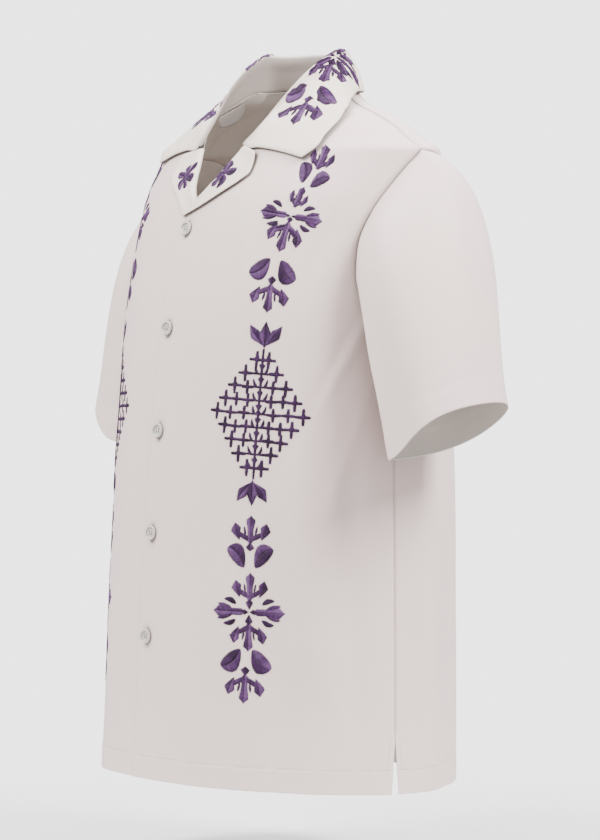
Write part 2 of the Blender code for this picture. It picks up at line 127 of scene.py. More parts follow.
# The armhole seam from the underarm to the shoulder: angles off the side line, and heights
Hole = namedtuple("Hole", "front_angle front_height back_angle back_height")
ARMHOLE = read_rows(Hole, (
    (0, 46.5, 0, 46.5),
    (8.5, 47.2, 11, 47.6),
    (16, 49.2, 19, 50.2),
    (20.5, 52, 23.5, 53.6),
    (21.5, 55, 25, 57),
    (19, 58, 26, 60.2),
    (14, 60.4, 23.5, 62.6),
    (8, 62.5, 15, 63.8),
    (0, 64.2, 0, 64.2),
))
ARMHOLE_STEPS = 12

# A front's inner edge from the underarm level up: the overlap, the roll line, then the neck seam
Edge = namedtuple("Edge", "x height")
FRONT_EDGE = read_rows(Edge, (
    (-1.5, 46.5),
    (-1.5, 50),
    (-1.5, 53.8),
    (-1.5, 57.6),
    (0.3, 59.5),
    (2.15, 61.4),
    (3.45, 63.4),
    (4.5, 65.3),
    (5.3, 66.6),
    (6.1, 67.8),
    (6.8, 69),
    (7.1, 70.1),
    (7.2, 70.8),
))
NOTCH_STEP = 7

# The lapel from its foot to the notch: a place on the roll line and one on the outer edge
Roll = namedtuple("Roll", "roll_x roll_height edge_x edge_height")
LAPEL = read_rows(Roll, (
    (-1.35, 57.8, -1, 57.72),
    (-0.15, 58.85, 1.6, 58.65),
    (1.35, 60.25, 4.4, 59.95),
    (2.5, 61.75, 6.5, 61.1),
    (3.3, 63.1, 7.5, 62),
    (3.95, 64.1, 7.35, 63),
    (4.35, 64.75, 6.95, 63.95),
))
# The under-lapel's first two places, which run down to the top button
UNDER_LAPEL_START = read_rows(Roll, (
    (0.05, 58.95, 1.45, 57.85),
    (0.75, 59.72, 2.9, 58.9),
))

# Across the lapel, from inside the roll line to the outer edge: how far it stands off the front
Wrap = namedtuple("Wrap", "inset share lift")
LAPEL_WRAP = read_rows(Wrap, (
    (-0.17, 0, 0),
    (-0.15, 0, 0.15),
    (0, 0.03, 0.28),
    (0, 0.35, 0.27),
    (0, 0.7, 0.29),
    (0, 1, 0.34),
))

# The collar from the notch to mid-back: its fold line in space, and its outer edge on the body
Fall = namedtuple("Fall", "station fold_x fold_y fold_height edge_angle edge_height edge_lift")
COLLAR = read_rows(Fall, (
    (0, 4.1, -7.25, 65, 38.3, 63.3, 0.5),
    (1, 4.8, -5.3, 67.2, 43, 64.5, 0.5),
    (2, 5.45, -3.6, 69.4, 52.5, 66.3, 0.5),
    (3, 6.1, -2, 71.4, 68.5, 68.1, 0.5),
    (4, 6.6, 0.2, 73.4, 86, 69.3, 0.7),
    (5, 6.75, 2.6, 74.7, 100, 70, 0.7),
    (7.2, 5.7, 4.2, 74.6, 126, 70.2, 0.55),
    (9.5, 3.3, 5.5, 74.65, 154, 70.3, 0.55),
    (12, 0, 6, 74.6, 180, 70.4, 0.55),
))
FOLD_WIDTH = 0.5
FALL_BULGE = 0.25
FALL_CLEARANCE = 0.36
FOLD_DROP = 0.2
FOLD_DROP_SHARE = 0.1
FOLD_DROP_MOST = 0.45
CREST_SHARE = 0.45
CREST_RISE = 0.1
BULGE_RISE = 0.6
STAND_SHARES = (0.5, 0.9)
FALL_SHARES = (0.0, 0.25, 0.5, 0.75, 1.0)

# The left cuff's oval rim, and how the sleeve leaves the armhole seam and comes to the cuff
CUFF_CENTRE = (28.9, 1.2, 36.5)
CUFF_HALF_WIDTH = 5.1
CUFF_HALF_DEPTH = 5.7
CUFF_OUTER_RISE = 2.7
CUFF_BACK_RISE = 0.7
CUFF_SQUARE = 0.06
SLEEVE_LEAN = (0.34, 0.0, -0.94)
CAP_FLARE = 0.7
CAP_DROP = 0.30
CAP_DROP_TOP = 0.05
CAP_PULL = 0.50
CAP_PULL_TOP = 0.45
CUFF_PULL = 0.9

BACK_SHOULDER_SHARE = 0.3
BACK_STATIONS = 20

# Creases finer than the solids' folds: soft troughs and ridges on the body, uneven on purpose.
# Each lies at an angle and height, runs along a slope in degrees of turn for each centimetre
# climbed, and fades over its own length and width.
Crease = namedtuple("Crease", "angle height slope length width depth")
BODY_CREASES = read_rows(Crease, (
    (66, 42, 1.9, 6, 3.2, 0.16),
    (58, 38.5, 1.6, 7, 2.8, -0.13),
    (70, 33, 1.2, 6.5, 3, 0.12),
    (44, 30, -1.1, 8, 4, 0.09),
    (36, 21, -0.9, 9, 3.6, -0.08),
    (52, 14, -0.7, 7, 3.4, 0.09),
    (22, 12, -0.3, 8, 3.6, 0.07),
    (12, 33, 0.4, 8.5, 3.2, -0.05),
    (30, 52, -1.2, 5, 3.4, 0.06),
    (56, 55.5, 1.1, 4, 3, -0.07),
    (-18, 26, 0.5, 9, 3.6, 0.07),
    (-30, 14, 0.6, 8, 3.4, -0.08),
    (-42, 31, 1, 7.5, 3.8, 0.1),
    (-56, 20, 0.5, 8, 3.2, 0.09),
    (-64, 40, -1.8, 6, 3.2, 0.15),
    (-72, 35, -1.4, 6, 2.8, -0.11),
    (108, 43, -2, 5.5, 3.4, 0.24),
    (116, 39, -1.6, 6.5, 3, -0.18),
    (128, 27, -0.5, 9, 3.8, 0.18),
    (140, 12, 0.4, 9, 3.4, -0.18),
    (152, 36, -0.3, 10, 3.6, 0.15),
    (158, 58, 0.8, 5, 4, 0.14),
    (171, 17, 0.2, 9.5, 3.2, 0.17),
    (184, 40, 0.3, 9, 4, -0.15),
    (193, 9, -0.3, 8, 3.2, 0.15),
    (206, 55, -0.9, 5.5, 4, 0.12),
    (214, 30, 0.5, 9.5, 3.6, 0.18),
    (228, 15, -0.3, 8.5, 3.4, -0.17),
    (241, 41, 1.8, 6, 3, 0.21),
    (251, 44, 2, 5, 3, -0.18),
))

# The same on a sleeve: turn 0 at the underarm, 90 in front, 180 on top; height down from the cap
SLEEVE_CREASES = read_rows(Crease, (
    (30, 0.32, 60, 0.22, 16, -0.16),
    (55, 0.46, 70, 0.24, 14, 0.14),
    (20, 0.6, 40, 0.2, 15, 0.12),
    (84, 0.62, 45, 0.26, 13, -0.07),
    (118, 0.4, 30, 0.3, 17, 0.06),
    (150, 0.72, -25, 0.22, 16, -0.05),
    (204, 0.5, -30, 0.3, 18, 0.08),
    (246, 0.36, -50, 0.26, 14, 0.12),
    (282, 0.55, -60, 0.24, 14, -0.12),
    (318, 0.42, -60, 0.22, 15, 0.15),
    (340, 0.7, -40, 0.18, 14, -0.1),
))


def smooth_step(low: float, high: float, value: Array | float) -> Array | float:
    """Soft ramp from 0 at low to 1 at high.

    Args:
        low: where the ramp starts.
        high: where it ends; it may lie below low.
        value: one number or an array.

    Returns:
        The ramp's value, between 0 and 1.
    """
    t = np.clip((value - low) / (high - low), 0.0, 1.0)
    return t * t * (3.0 - 2.0 * t)


def unit(vectors: Array) -> Array:
    """The same directions with length 1."""
    return vectors / np.maximum(np.linalg.norm(vectors, axis=-1, keepdims=True), 1e-9)


def monotone_slopes(keys: Array, values: Array) -> Array:
    """Slopes of a smooth curve that never overshoots its points.

    Args:
        keys: rising positions, one for each point.
        values: the heights there.

    Returns:
        One slope for each point.
    """
    steps = np.diff(keys)
    rises = np.diff(values) / steps
    slopes = np.zeros(len(keys))
    slopes[0], slopes[-1] = rises[0], rises[-1]
    for i in range(1, len(keys) - 1):
        if rises[i - 1] * rises[i] > 0.0:
            near = 2.0 * steps[i] + steps[i - 1]
            far = steps[i] + 2.0 * steps[i - 1]
            slopes[i] = (near + far) / (near / rises[i - 1] + far / rises[i])
    return slopes


def smooth_between(start: Array, end: Array, leave: Array, arrive: Array, t: Array) -> Array:
    """Places on a smooth curve between two points.

    Args:
        start: the first point.
        end: the second point.
        leave: the way out of the first, as long as the curve's span.
        arrive: the way into the second, as long.
        t: how far along, 0 to 1.

    Returns:
        The points.
    """
    return (start * ((1 + 2 * t) * (1 - t) ** 2) + leave * (t * (1 - t) ** 2)
            + end * (t * t * (3 - 2 * t)) + arrive * (t * t * (t - 1)))


class Curve:
    """A table read smoothly, each column as a function of the first or of the row's place."""

    def __init__(self, table: Sequence[tuple], by_row_number: bool = False) -> None:
        """Keep the table's columns and their slopes.

        Args:
            table: rows of numbers.
            by_row_number: read by the row's place, 0 to 1, instead of by the first column.
        """
        values = np.array(table, dtype=float)
        self.keys = np.linspace(0.0, 1.0, len(table)) if by_row_number else values[:, 0]
        self.values = values if by_row_number else values[:, 1:]
        self.slopes = np.array([monotone_slopes(self.keys, column) for column in self.values.T]).T

    def at(self, key: Array | float) -> Array:
        """All columns at one or more keys.

        Args:
            key: one number or an array; held at the table's ends.

        Returns:
            The columns, along the last axis.
        """
        key = np.clip(np.asarray(key, dtype=float), self.keys[0], self.keys[-1])
        i = np.clip(np.searchsorted(self.keys, key, side="right") - 1, 0, len(self.keys) - 2)
        span = (self.keys[i + 1] - self.keys[i])[..., None]
        t = (key - self.keys[i])[..., None] / span
        return smooth_between(self.values[i], self.values[i + 1], self.slopes[i] * span,
                              self.slopes[i + 1] * span, t)


RING_CURVE = Curve(RINGS)
ARMHOLE_CURVE = Curve(ARMHOLE, by_row_number=True)
COLLAR_CURVE = Curve(COLLAR)
FRONT_EDGE_CURVE = Curve(FRONT_EDGE, by_row_number=True)


class Form:
    """The worn body of the shirt: where the middle of its cloth lies, round and up."""

    @staticmethod
    def fold_depth(angle: Array, height: Array) -> Array:
        """How far the broad folds of the solids push the cloth out.

        Args:
            angle: degrees round the body from the middle front towards the wearer's left.
            height: centimetres up from the hem.

        Returns:
            The push out of the cloth.
        """
        total = np.zeros(np.broadcast(angle, height).shape)
        for fold in BROAD_FOLDS:
            middle = fold.angle + fold.lean * (height - fold.low)
            across = (np.mod(angle, 360.0) - middle) / fold.width
            fade = smooth_step(fold.high, fold.high - FOLD_FADE_TOP, height)
            fade = fade * smooth_step(fold.low - 1.0, fold.low + FOLD_FADE_FOOT, height)
            total = total + fold.depth * np.exp(-across * across) * fade
        return total

    @staticmethod
    def crease_depth(angle: Array, height: Array) -> Array:
        """How far the finer creases push the cloth out, none of them at the hem or collar.

        Args:
            angle: degrees round the body from the middle front towards the wearer's left.
            height: centimetres up from the hem.

        Returns:
            The push out of the cloth.
        """
        total = np.zeros(np.broadcast(angle, height).shape)
        for crease in BODY_CREASES:
            along = (height - crease.height) / crease.length
            turn = np.mod(angle - crease.angle + 180.0, 360.0) - 180.0
            across = (turn - crease.slope * (height - crease.height)) / crease.width
            total = total + crease.depth * np.exp(-across * across - along * along)
        return total

    @classmethod
    def base(cls, angle: Array, height: Array) -> Array:
        """A place on the solids' body.

        Args:
            angle: degrees round it from the middle front towards the wearer's left.
            height: centimetres up from the hem.

        Returns:
            Points in centimetres.
        """
        angle, height = np.broadcast_arrays(np.asarray(angle, float), np.asarray(height, float))
        ring = np.moveaxis(RING_CURVE.at(height), -1, 0)
        half_width, front, back, side, square = ring
        turn = np.radians(angle)
        swell = 1.0 + square * np.sin(2.0 * turn) ** 2
        depth = np.where(np.cos(turn) >= 0.0, side - front, back - side)
        push = cls.fold_depth(angle, height)
        return np.stack([half_width * np.sin(turn) * swell + np.sin(turn) * push,
                         side - depth * np.cos(turn) * swell - np.cos(turn) * push,
                         height], axis=-1)

    @classmethod
    def normal(cls, angle: Array, height: Array) -> Array:
        """The outward direction of the solids' body at a place.

        Args:
            angle: degrees round the body from the middle front towards the wearer's left.
            height: centimetres up from the hem.

        Returns:
            Unit vectors.
        """
        angle, height = np.asarray(angle), np.asarray(height)
        around = cls.base(angle + 0.5, height) - cls.base(angle - 0.5, height)
        up = cls.base(angle, height + 0.2) - cls.base(angle, height - 0.2)
        return unit(np.cross(around, up))

    @classmethod
    def cloth(cls, angle: Array, height: Array, lift: Array | float = 0.0) -> Array:
        """A place on the creased cloth, moved out by a lift."""
        push = cls.crease_depth(np.asarray(angle, float), np.asarray(height, float)) + lift
        return cls.base(angle, height) + cls.normal(angle, height) * np.asarray(push)[..., None]

    @classmethod
    def angle_at(cls, x: Array, height: Array) -> Array:
        """Angle of the front place that lies x from the middle at a height.

        Args:
            x: centimetres towards the wearer's left.
            height: centimetres up from the hem.

        Returns:
            Angles in degrees, between the two side lines.
        """
        x, height = np.broadcast_arrays(np.asarray(x, float), np.asarray(height, float))
        low = np.full(x.shape, -90.0)
        high = np.full(x.shape, 90.0)
        for _ in range(30):
            middle = 0.5 * (low + high)
            left_of = cls.base(middle, height)[..., 0] < x
            low = np.where(left_of, middle, low)
            high = np.where(left_of, high, middle)
        return 0.5 * (low + high)


def tuck_depth(x: Array) -> Array:
    """How far the right front's under-lap lies inside the left front, at x from the middle."""
    return TUCK * (1.0 - smooth_step(FRONT_LAP, TUCK_END, x))


def side_shift(height: Array) -> Array:
    """Half the space between the panels' side edges, as an angle: a seam, then the open vent."""
    seam = math.degrees(0.5 * SEAM_GAP / SIDE_DEPTH)
    return seam + VENT_SPREAD * np.maximum(0.0, 1.0 - height / VENT_HEIGHT)


def armhole_place(step: Array, on_back: Array | bool) -> tuple[Array, Array]:
    """Angle and height on the left armhole seam, step 0 at the underarm.

    Args:
        step: 0 at the underarm, ARMHOLE_STEPS at the shoulder.
        on_back: read the back half of the seam.

    Returns:
        Angles and heights.
    """
    hole = np.moveaxis(ARMHOLE_CURVE.at(np.asarray(step) / ARMHOLE_STEPS), -1, 0)
    angle = np.where(on_back, 90.0 + hole[2], 90.0 - hole[0])
    return angle, np.where(on_back, hole[3], hole[1])


def front_edge(step: Array) -> tuple[Array, Array]:
    """Distance from the middle and height of a front's inner edge above the underarm level."""
    place = FRONT_EDGE_CURVE.at(np.asarray(step, float) / ARMHOLE_STEPS)
    return place[..., 0], place[..., 1]


def mirrored(points: Array, side: int) -> Array:
    """The same places on the wearer's right where side is -1."""
    return points * np.array([side, 1.0, 1.0])


def crowded(count: int, edge: float, share: float) -> Array:
    """Steps from 0 to 1 that lie closer together at both ends.

    Args:
        count: how many steps.
        edge: the width at each end that is crowded.
        share: the share of the steps that each end takes.

    Returns:
        Rising numbers from 0 to 1.
    """
    return np.interp(np.linspace(0.0, 1.0, count), (0.0, share, 1.0 - share, 1.0),
                     (0.0, edge, 1.0 - edge, 1.0))


def grid_normals(points: Array, closed: bool = False) -> Array:
    """Directions across a grid of points.

    Args:
        points: rows by columns of points.
        closed: the columns go all the way round.

    Returns:
        For each point, the unit vector of column direction cross row direction.
    """
    if closed:
        along = np.roll(points, -1, axis=1) - np.roll(points, 1, axis=1)
    else:
        along = np.gradient(points, axis=1)
    return unit(np.cross(along, np.gradient(points, axis=0)))


def edge_distance(points: Array, axis: int, from_end: bool) -> Array:
    """How far each grid point lies from one border of its grid, measured along the grid.

    Args:
        points: rows by columns of points.
        axis: 0 across rows, 1 across columns.
        from_end: measure from the last row or column.

    Returns:
        A distance for each point.
    """
    steps = np.linalg.norm(np.diff(points, axis=axis), axis=-1)
    if from_end:
        steps = np.flip(steps, axis=axis)
    shape = list(steps.shape)
    shape[axis] = 1
    far = np.concatenate([np.zeros(shape), np.cumsum(steps, axis=axis)], axis=axis)
    return np.flip(far, axis=axis) if from_end else far


def smooth_line(points: Array, count: int, crowd: float = 0.0) -> Array:
    """A smooth line through a few points, read at even steps of its length.

    Args:
        points: the points that it passes, in order.
        count: how many points are wanted.
        crowd: 0 for even steps, up to 1 for steps that gather where the line bends most.

    Returns:
        count points.
    """
    spans = np.maximum(np.linalg.norm(np.diff(points, axis=0), axis=1), 1e-6)
    keys = np.concatenate([[0.0], np.cumsum(spans)])
    rises = np.diff(points, axis=0) / spans[:, None]
    slopes = np.empty_like(points)
    slopes[0], slopes[-1] = rises[0], rises[-1]
    slopes[1:-1] = ((rises[:-1] * spans[1:, None] + rises[1:] * spans[:-1, None])
                    / (spans[:-1] + spans[1:])[:, None])
    bends = np.zeros(len(points))
    bends[1:-1] = np.arccos(np.clip(np.sum(unit(rises[:-1]) * unit(rises[1:]), axis=1), -1.0, 1.0))
    weight = keys + crowd * keys[-1] * np.cumsum(bends) / max(np.sum(bends), 1e-6)
    at = np.interp(np.linspace(weight[0], weight[-1], count), weight, keys)
    i = np.clip(np.searchsorted(keys, at, side="right") - 1, 0, len(keys) - 2)
    span = spans[i][:, None]
    t = (at - keys[i])[:, None] / span
    return smooth_between(points[i], points[i + 1], slopes[i] * span, slopes[i + 1] * span, t)


def to_frame(points: Array) -> Array:
    """Garment centimetres as metres in the shared frame."""
    return (points - np.array([0.0, RIDGE_Y, NECK_HEIGHT])) * CM


def make_piece(name: str, points: Array, faces: list, materials: Sequence[bpy.types.Material],
               replaces: Sequence[str] = ()) -> bpy.types.Object:
    """Turn points and faces into a smooth piece that rides on the body.

    Args:
        name: the piece's name.
        points: vertices in garment centimetres.
        faces: tuples of vertex numbers.
        materials: the material slots in order.
        replaces: the solids that it stands for.

    Returns:
        The new object.
    """
    mesh = bpy.data.meshes.new(name)
    mesh.from_pydata(to_frame(points).tolist(), [], faces)
    mesh.shade_smooth()
    for material in materials:
        mesh.materials.append(material)
    piece = bpy.data.objects.new(name, mesh)
    bpy.context.scene.collection.objects.link(piece)
    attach(piece, "root")
    if replaces:
        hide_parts(*replaces)
    LOG.info("%s: %d faces", name, len(faces))
    return piece


def keep_values(piece: bpy.types.Object, name: str, values: Array) -> None:
    """Keep one number for each point of a piece, for its material to read."""
    layer = piece.data.attributes.new(name, "FLOAT", "POINT")
    layer.data.foreach_set("value", values.astype(np.float32))


@dataclass
class Shell:
    """A sheet of cloth as a grid, with an outer and an inner face and rounded folded edges."""

    name: str
    outer: Array
    normals: Array
    thickness: float | Array
    closed: bool = False
    hidden_rim: bool = False

    def border(self) -> list[list[tuple[int, int]]]:
        """The grid's border loops as row and column pairs.

        Returns:
            One loop, or two where the columns go all the way round.
        """
        rows, columns = self.outer.shape[:2]
        if self.closed:
            return [[(row, j) for j in range(columns)] for row in (0, rows - 1)]
        return [[(0, j) for j in range(columns)]
                + [(i, columns - 1) for i in range(1, rows)]
                + [(rows - 1, j) for j in range(columns - 2, -1, -1)]
                + [(i, 0) for i in range(rows - 2, 0, -1)]]

    def outward(self, row: int, column: int) -> Array:
        """The direction in the cloth that points off its border here.

        Args:
            row: the border point's row.
            column: its column.

        Returns:
            A unit vector.
        """
        rows, columns = self.outer.shape[:2]
        way = np.zeros(3)
        if row in (0, rows - 1):
            inner = 1 if row == 0 else rows - 2
            way += unit(self.outer[row, column] - self.outer[inner, column])
        if not self.closed and column in (0, columns - 1):
            inner = 1 if column == 0 else columns - 2
            way += unit(self.outer[row, column] - self.outer[row, inner])
        return unit(way)

    def build(self, materials: Sequence[bpy.types.Material], slot: str,
              replaces: Sequence[str] = ()) -> bpy.types.Object:
        """Make the piece: outer face, inner face and a rounded rim.

        Args:
            materials: cloth outside, then inside.
            slot: not used.
            replaces: the solids that it stands for.

        Returns:
            The new object.
        """
        rows, columns = self.outer.shape[:2]
        thickness = np.broadcast_to(np.asarray(self.thickness, float), (rows, columns))
        inner = self.outer - self.normals * thickness[..., None]
        count = rows * columns
        points = [self.outer.reshape(-1, 3), inner.reshape(-1, 3)]
        number = np.arange(count).reshape(rows, columns)
        if self.closed:
            number = np.concatenate([number, number[:, :1]], axis=1)
        quads = np.stack([number[:-1, :-1], number[:-1, 1:], number[1:, 1:], number[1:, :-1]],
                         axis=-1).reshape(-1, 4)
        first = self.outer.reshape(-1, 3)[quads[:, :3]]
        facing = np.cross(first[:, 1] - first[:, 0], first[:, 2] - first[:, 0])
        turned = np.sum(facing * self.normals.reshape(-1, 3)[quads[:, 0]]) < 0.0
        if turned:
            quads = quads[:, ::-1]
        faces = quads.tolist() + (quads[:, ::-1] + count).tolist()
        outside_faces = len(quads)
        start = 2 * count
        for loop_number, loop in enumerate(self.border()):
            rim = np.array([0.5 * (self.outer[i, j] + inner[i, j])
                            + self.outward(i, j) * 0.5 * thickness[i, j] for i, j in loop])
            points.append(rim)
            flip = turned != (self.closed and loop_number == 1)
            for k, (i, j) in enumerate(loop):
                n = (k + 1) % len(loop)
                here, there = i * columns + j, loop[n][0] * columns + loop[n][1]
                upper = [here, start + k, start + n, there]
                lower = [start + k, here + count, there + count, start + n]
                faces += [face[::-1] if flip else face for face in (upper, lower)]
            start += len(loop)
        piece = make_piece(self.name, np.concatenate(points), faces, materials, replaces)
        side = np.zeros(len(faces), dtype=np.int32)
        side[outside_faces:2 * outside_faces] = 1
        side[2 * outside_faces + 1::2] = 1
        side[2 * outside_faces:] = np.where(self.hidden_rim, 1, side[2 * outside_faces:])
        piece.data.polygons.foreach_set("material_index", side)
        return piece

    def area(self) -> float:
        """The cloth's own area in square metres.

        Returns:
            The area of the outer face.
        """
        grid = self.outer
        if self.closed:
            grid = np.concatenate([grid, grid[:, :1]], axis=1)
        one = np.cross(grid[1:, :-1] - grid[:-1, :-1], grid[:-1, 1:] - grid[:-1, :-1])
        two = np.cross(grid[1:, :-1] - grid[1:, 1:], grid[:-1, 1:] - grid[1:, 1:])
        return float(0.5 * (np.linalg.norm(one, axis=-1) + np.linalg.norm(two, axis=-1)).sum()
                     * CM * CM)


# How the sewn edges look: a seam dips into the cloth, a fold stands a little proud
SEAM_DIP = 0.11
SEAM_REACH = 0.38
SEAM_SWELL = 0.025
FOLD_SWELL = 0.035
FOLD_REACH = 0.55
HEM_SWELL = 0.035
STITCH_DIP = 0.035
STITCH_WIDTH = 0.10
STITCH_UNEVEN = 0.45
PUCKER = 0.012
PUCKER_REACH = 0.7
VENT_FOLD_SHARE = 0.4
EDGE_BEAD_REACH = 0.3
CLOTH_THICKNESS = 0.07

# Heights of the rows of points that carry the bottom hem's fold and stitch line
HEM_ROWS = (0, 0.08, 0.25, 0.6, 1.1, 1.6, 1.95, 2.15, 2.27, 2.34, 2.4, 2.46, 2.53, 2.65, 2.9, 3.3)
FIRST_PLAIN_ROW = 3.7


def seam_relief(distance: Array) -> Array:
    """Depth profile beside a seam: a rounded dip, then the slight swell of its allowance."""
    dip = -SEAM_DIP * np.exp(-(distance / (0.38 * SEAM_REACH)) ** 2)
    return dip + SEAM_SWELL * np.exp(-((distance - 1.6 * SEAM_REACH) / SEAM_REACH) ** 2)


def fold_relief(distance: Array) -> Array:
    """Depth profile beside a folded edge: the doubled cloth is a little fuller."""
    return FOLD_SWELL * (1.0 - smooth_step(0.5 * FOLD_REACH, 1.6 * FOLD_REACH, distance))


def stitched_hem_relief(distance: Array, depth: float, seat: Array) -> Array:
    """Depth profile of a turned hem: full below its stitch line, pulled in along it.

    Args:
        distance: centimetres from the edge.
        depth: how far up the stitch line runs.
        seat: a place along the hem, for the uneven pull of the stitches.

    Returns:
        The push out of the cloth.
    """
    off = distance - depth
    pull = 1.0 + STITCH_UNEVEN * np.sin(2.1 * seat) * np.sin(0.83 * seat + 1.0)
    groove = -STITCH_DIP * pull * np.exp(-(off / STITCH_WIDTH) ** 2)
    pucker = PUCKER * np.sin(3.7 * seat + np.sin(1.3 * seat)) * np.exp(-(off / PUCKER_REACH) ** 2)
    return HEM_SWELL * (1.0 - smooth_step(depth - 0.1, depth + 0.25, distance)) + groove + pucker


def upper_steps(rows: int) -> Array:
    """Rows of points above the underarm, closest together at the underarm and the top seam."""
    return crowded(rows + 1, 0.02, 0.06)[1:] * ARMHOLE_STEPS


def edge_bead(distance: Array, inset: float, height: float) -> Array:
    """Height profile of the turned seam allowance inside a doubled edge."""
    return height * np.exp(-((distance - inset) / EDGE_BEAD_REACH) ** 2)


def row_heights(count: int) -> Array:
    """Row heights from the hem to the underarm, closest together at the hem's stitch line."""
    return np.concatenate([HEM_ROWS, np.linspace(FIRST_PLAIN_ROW, UNDERARM_HEIGHT, count)])


def panel_lift(above_hem: Array, upper_rows: int, from_side: Array, from_top: Array,
               along_hem: Array) -> Array:
    """How far a body panel's cloth stands off the middle of its wall.

    Args:
        above_hem: height above the hem of each point.
        upper_rows: how many rows of points lie above the underarm.
        from_side: distance from the side seam or vent.
        from_top: distance from the shoulder and neck seams.
        along_hem: a place along the hem.

    Returns:
        The push out of the wall.
    """
    row = np.arange(len(above_hem))[:, None]
    on_vent = (row < len(above_hem) - upper_rows) & (above_hem < VENT_HEIGHT)
    side = np.where(on_vent, VENT_FOLD_SHARE * fold_relief(from_side), seam_relief(from_side))
    hem = stitched_hem_relief(above_hem, HEM_DEPTH, along_hem)
    return 0.5 * WALL + side + seam_relief(from_top) + hem


@dataclass
class FrontPanel:
    """A front of the shirt, from its folded edge to the side seam and armhole."""

    name: str
    side: int
    columns: int = 104
    lower_rows: int = 92
    upper_rows: int = 76
    edge_crowd: float = 0.02
    edge_share: float = 0.06
    button_dimple: float = 0.05
    dimple_radius: float = 1.1
    button_heights: tuple[float, ...] = ()

    def places(self) -> tuple[Array, Array, Array]:
        """Angle on the wearer's left, height, and height above the hem line of each point.

        Returns:
            Three arrays, rows by columns.
        """
        share = crowded(self.columns, self.edge_crowd, self.edge_share)
        low = row_heights(self.lower_rows)
        start = self.side * Form.angle_at(-self.side * FRONT_LAP, low)
        end = 90.0 - side_shift(low)
        angle = start[:, None] + (end - start)[:, None] * share
        rise = HEM_RISE * np.maximum(0.0, np.cos(np.radians(angle)))
        rise = rise * np.maximum(0.0, 1.0 - low / HEM_RISE_END)[:, None]
        height = low[:, None] + rise
        steps = upper_steps(self.upper_rows)
        x, edge_height = front_edge(steps)
        last = float(90.0 - side_shift(np.array(UNDERARM_HEIGHT)))
        first = self.side * Form.angle_at(self.side * x, edge_height)
        first = np.where(steps > ARMHOLE_STEPS - 1e-6, last, first)
        first = np.minimum(first, last)
        hole_angle, hole_height = armhole_place(steps, False)
        hole_angle = np.minimum(hole_angle, last)
        upper_angle = first[:, None] + (hole_angle - first)[:, None] * share
        upper_height = edge_height[:, None] + (hole_height - edge_height)[:, None] * share
        above_hem = np.broadcast_to(low[:, None], angle.shape)
        return (np.concatenate([angle, upper_angle]), np.concatenate([height, upper_height]),
                np.concatenate([above_hem, upper_height]))

    def shell(self) -> Shell:
        """The panel's cloth with its hem, placket fold and seams.

        Returns:
            The shell, ready to be built.
        """
        angle, height, above_hem = self.places()
        base = Form.base(self.side * angle, height)
        from_fold = edge_distance(base, axis=1, from_end=False)
        from_side = edge_distance(base, axis=1, from_end=True)
        from_top = edge_distance(base, axis=0, from_end=True)
        lift = panel_lift(above_hem, self.upper_rows, from_side, from_top, from_side)
        below_lapel = height < LAPEL[0].roll_height
        lift += np.where(below_lapel, fold_relief(from_fold), 0.0)
        if self.side < 0:
            lift -= tuck_depth(-base[..., 0])
        for button in self.button_heights:
            gap = base - Form.base(0.0, button)
            near = np.sum(gap * gap, axis=-1) / self.dimple_radius ** 2
            lift -= self.button_dimple * np.exp(-near)
        return Shell(self.name, Form.cloth(self.side * angle, height, lift),
                     Form.normal(self.side * angle, height), CLOTH_THICKNESS)


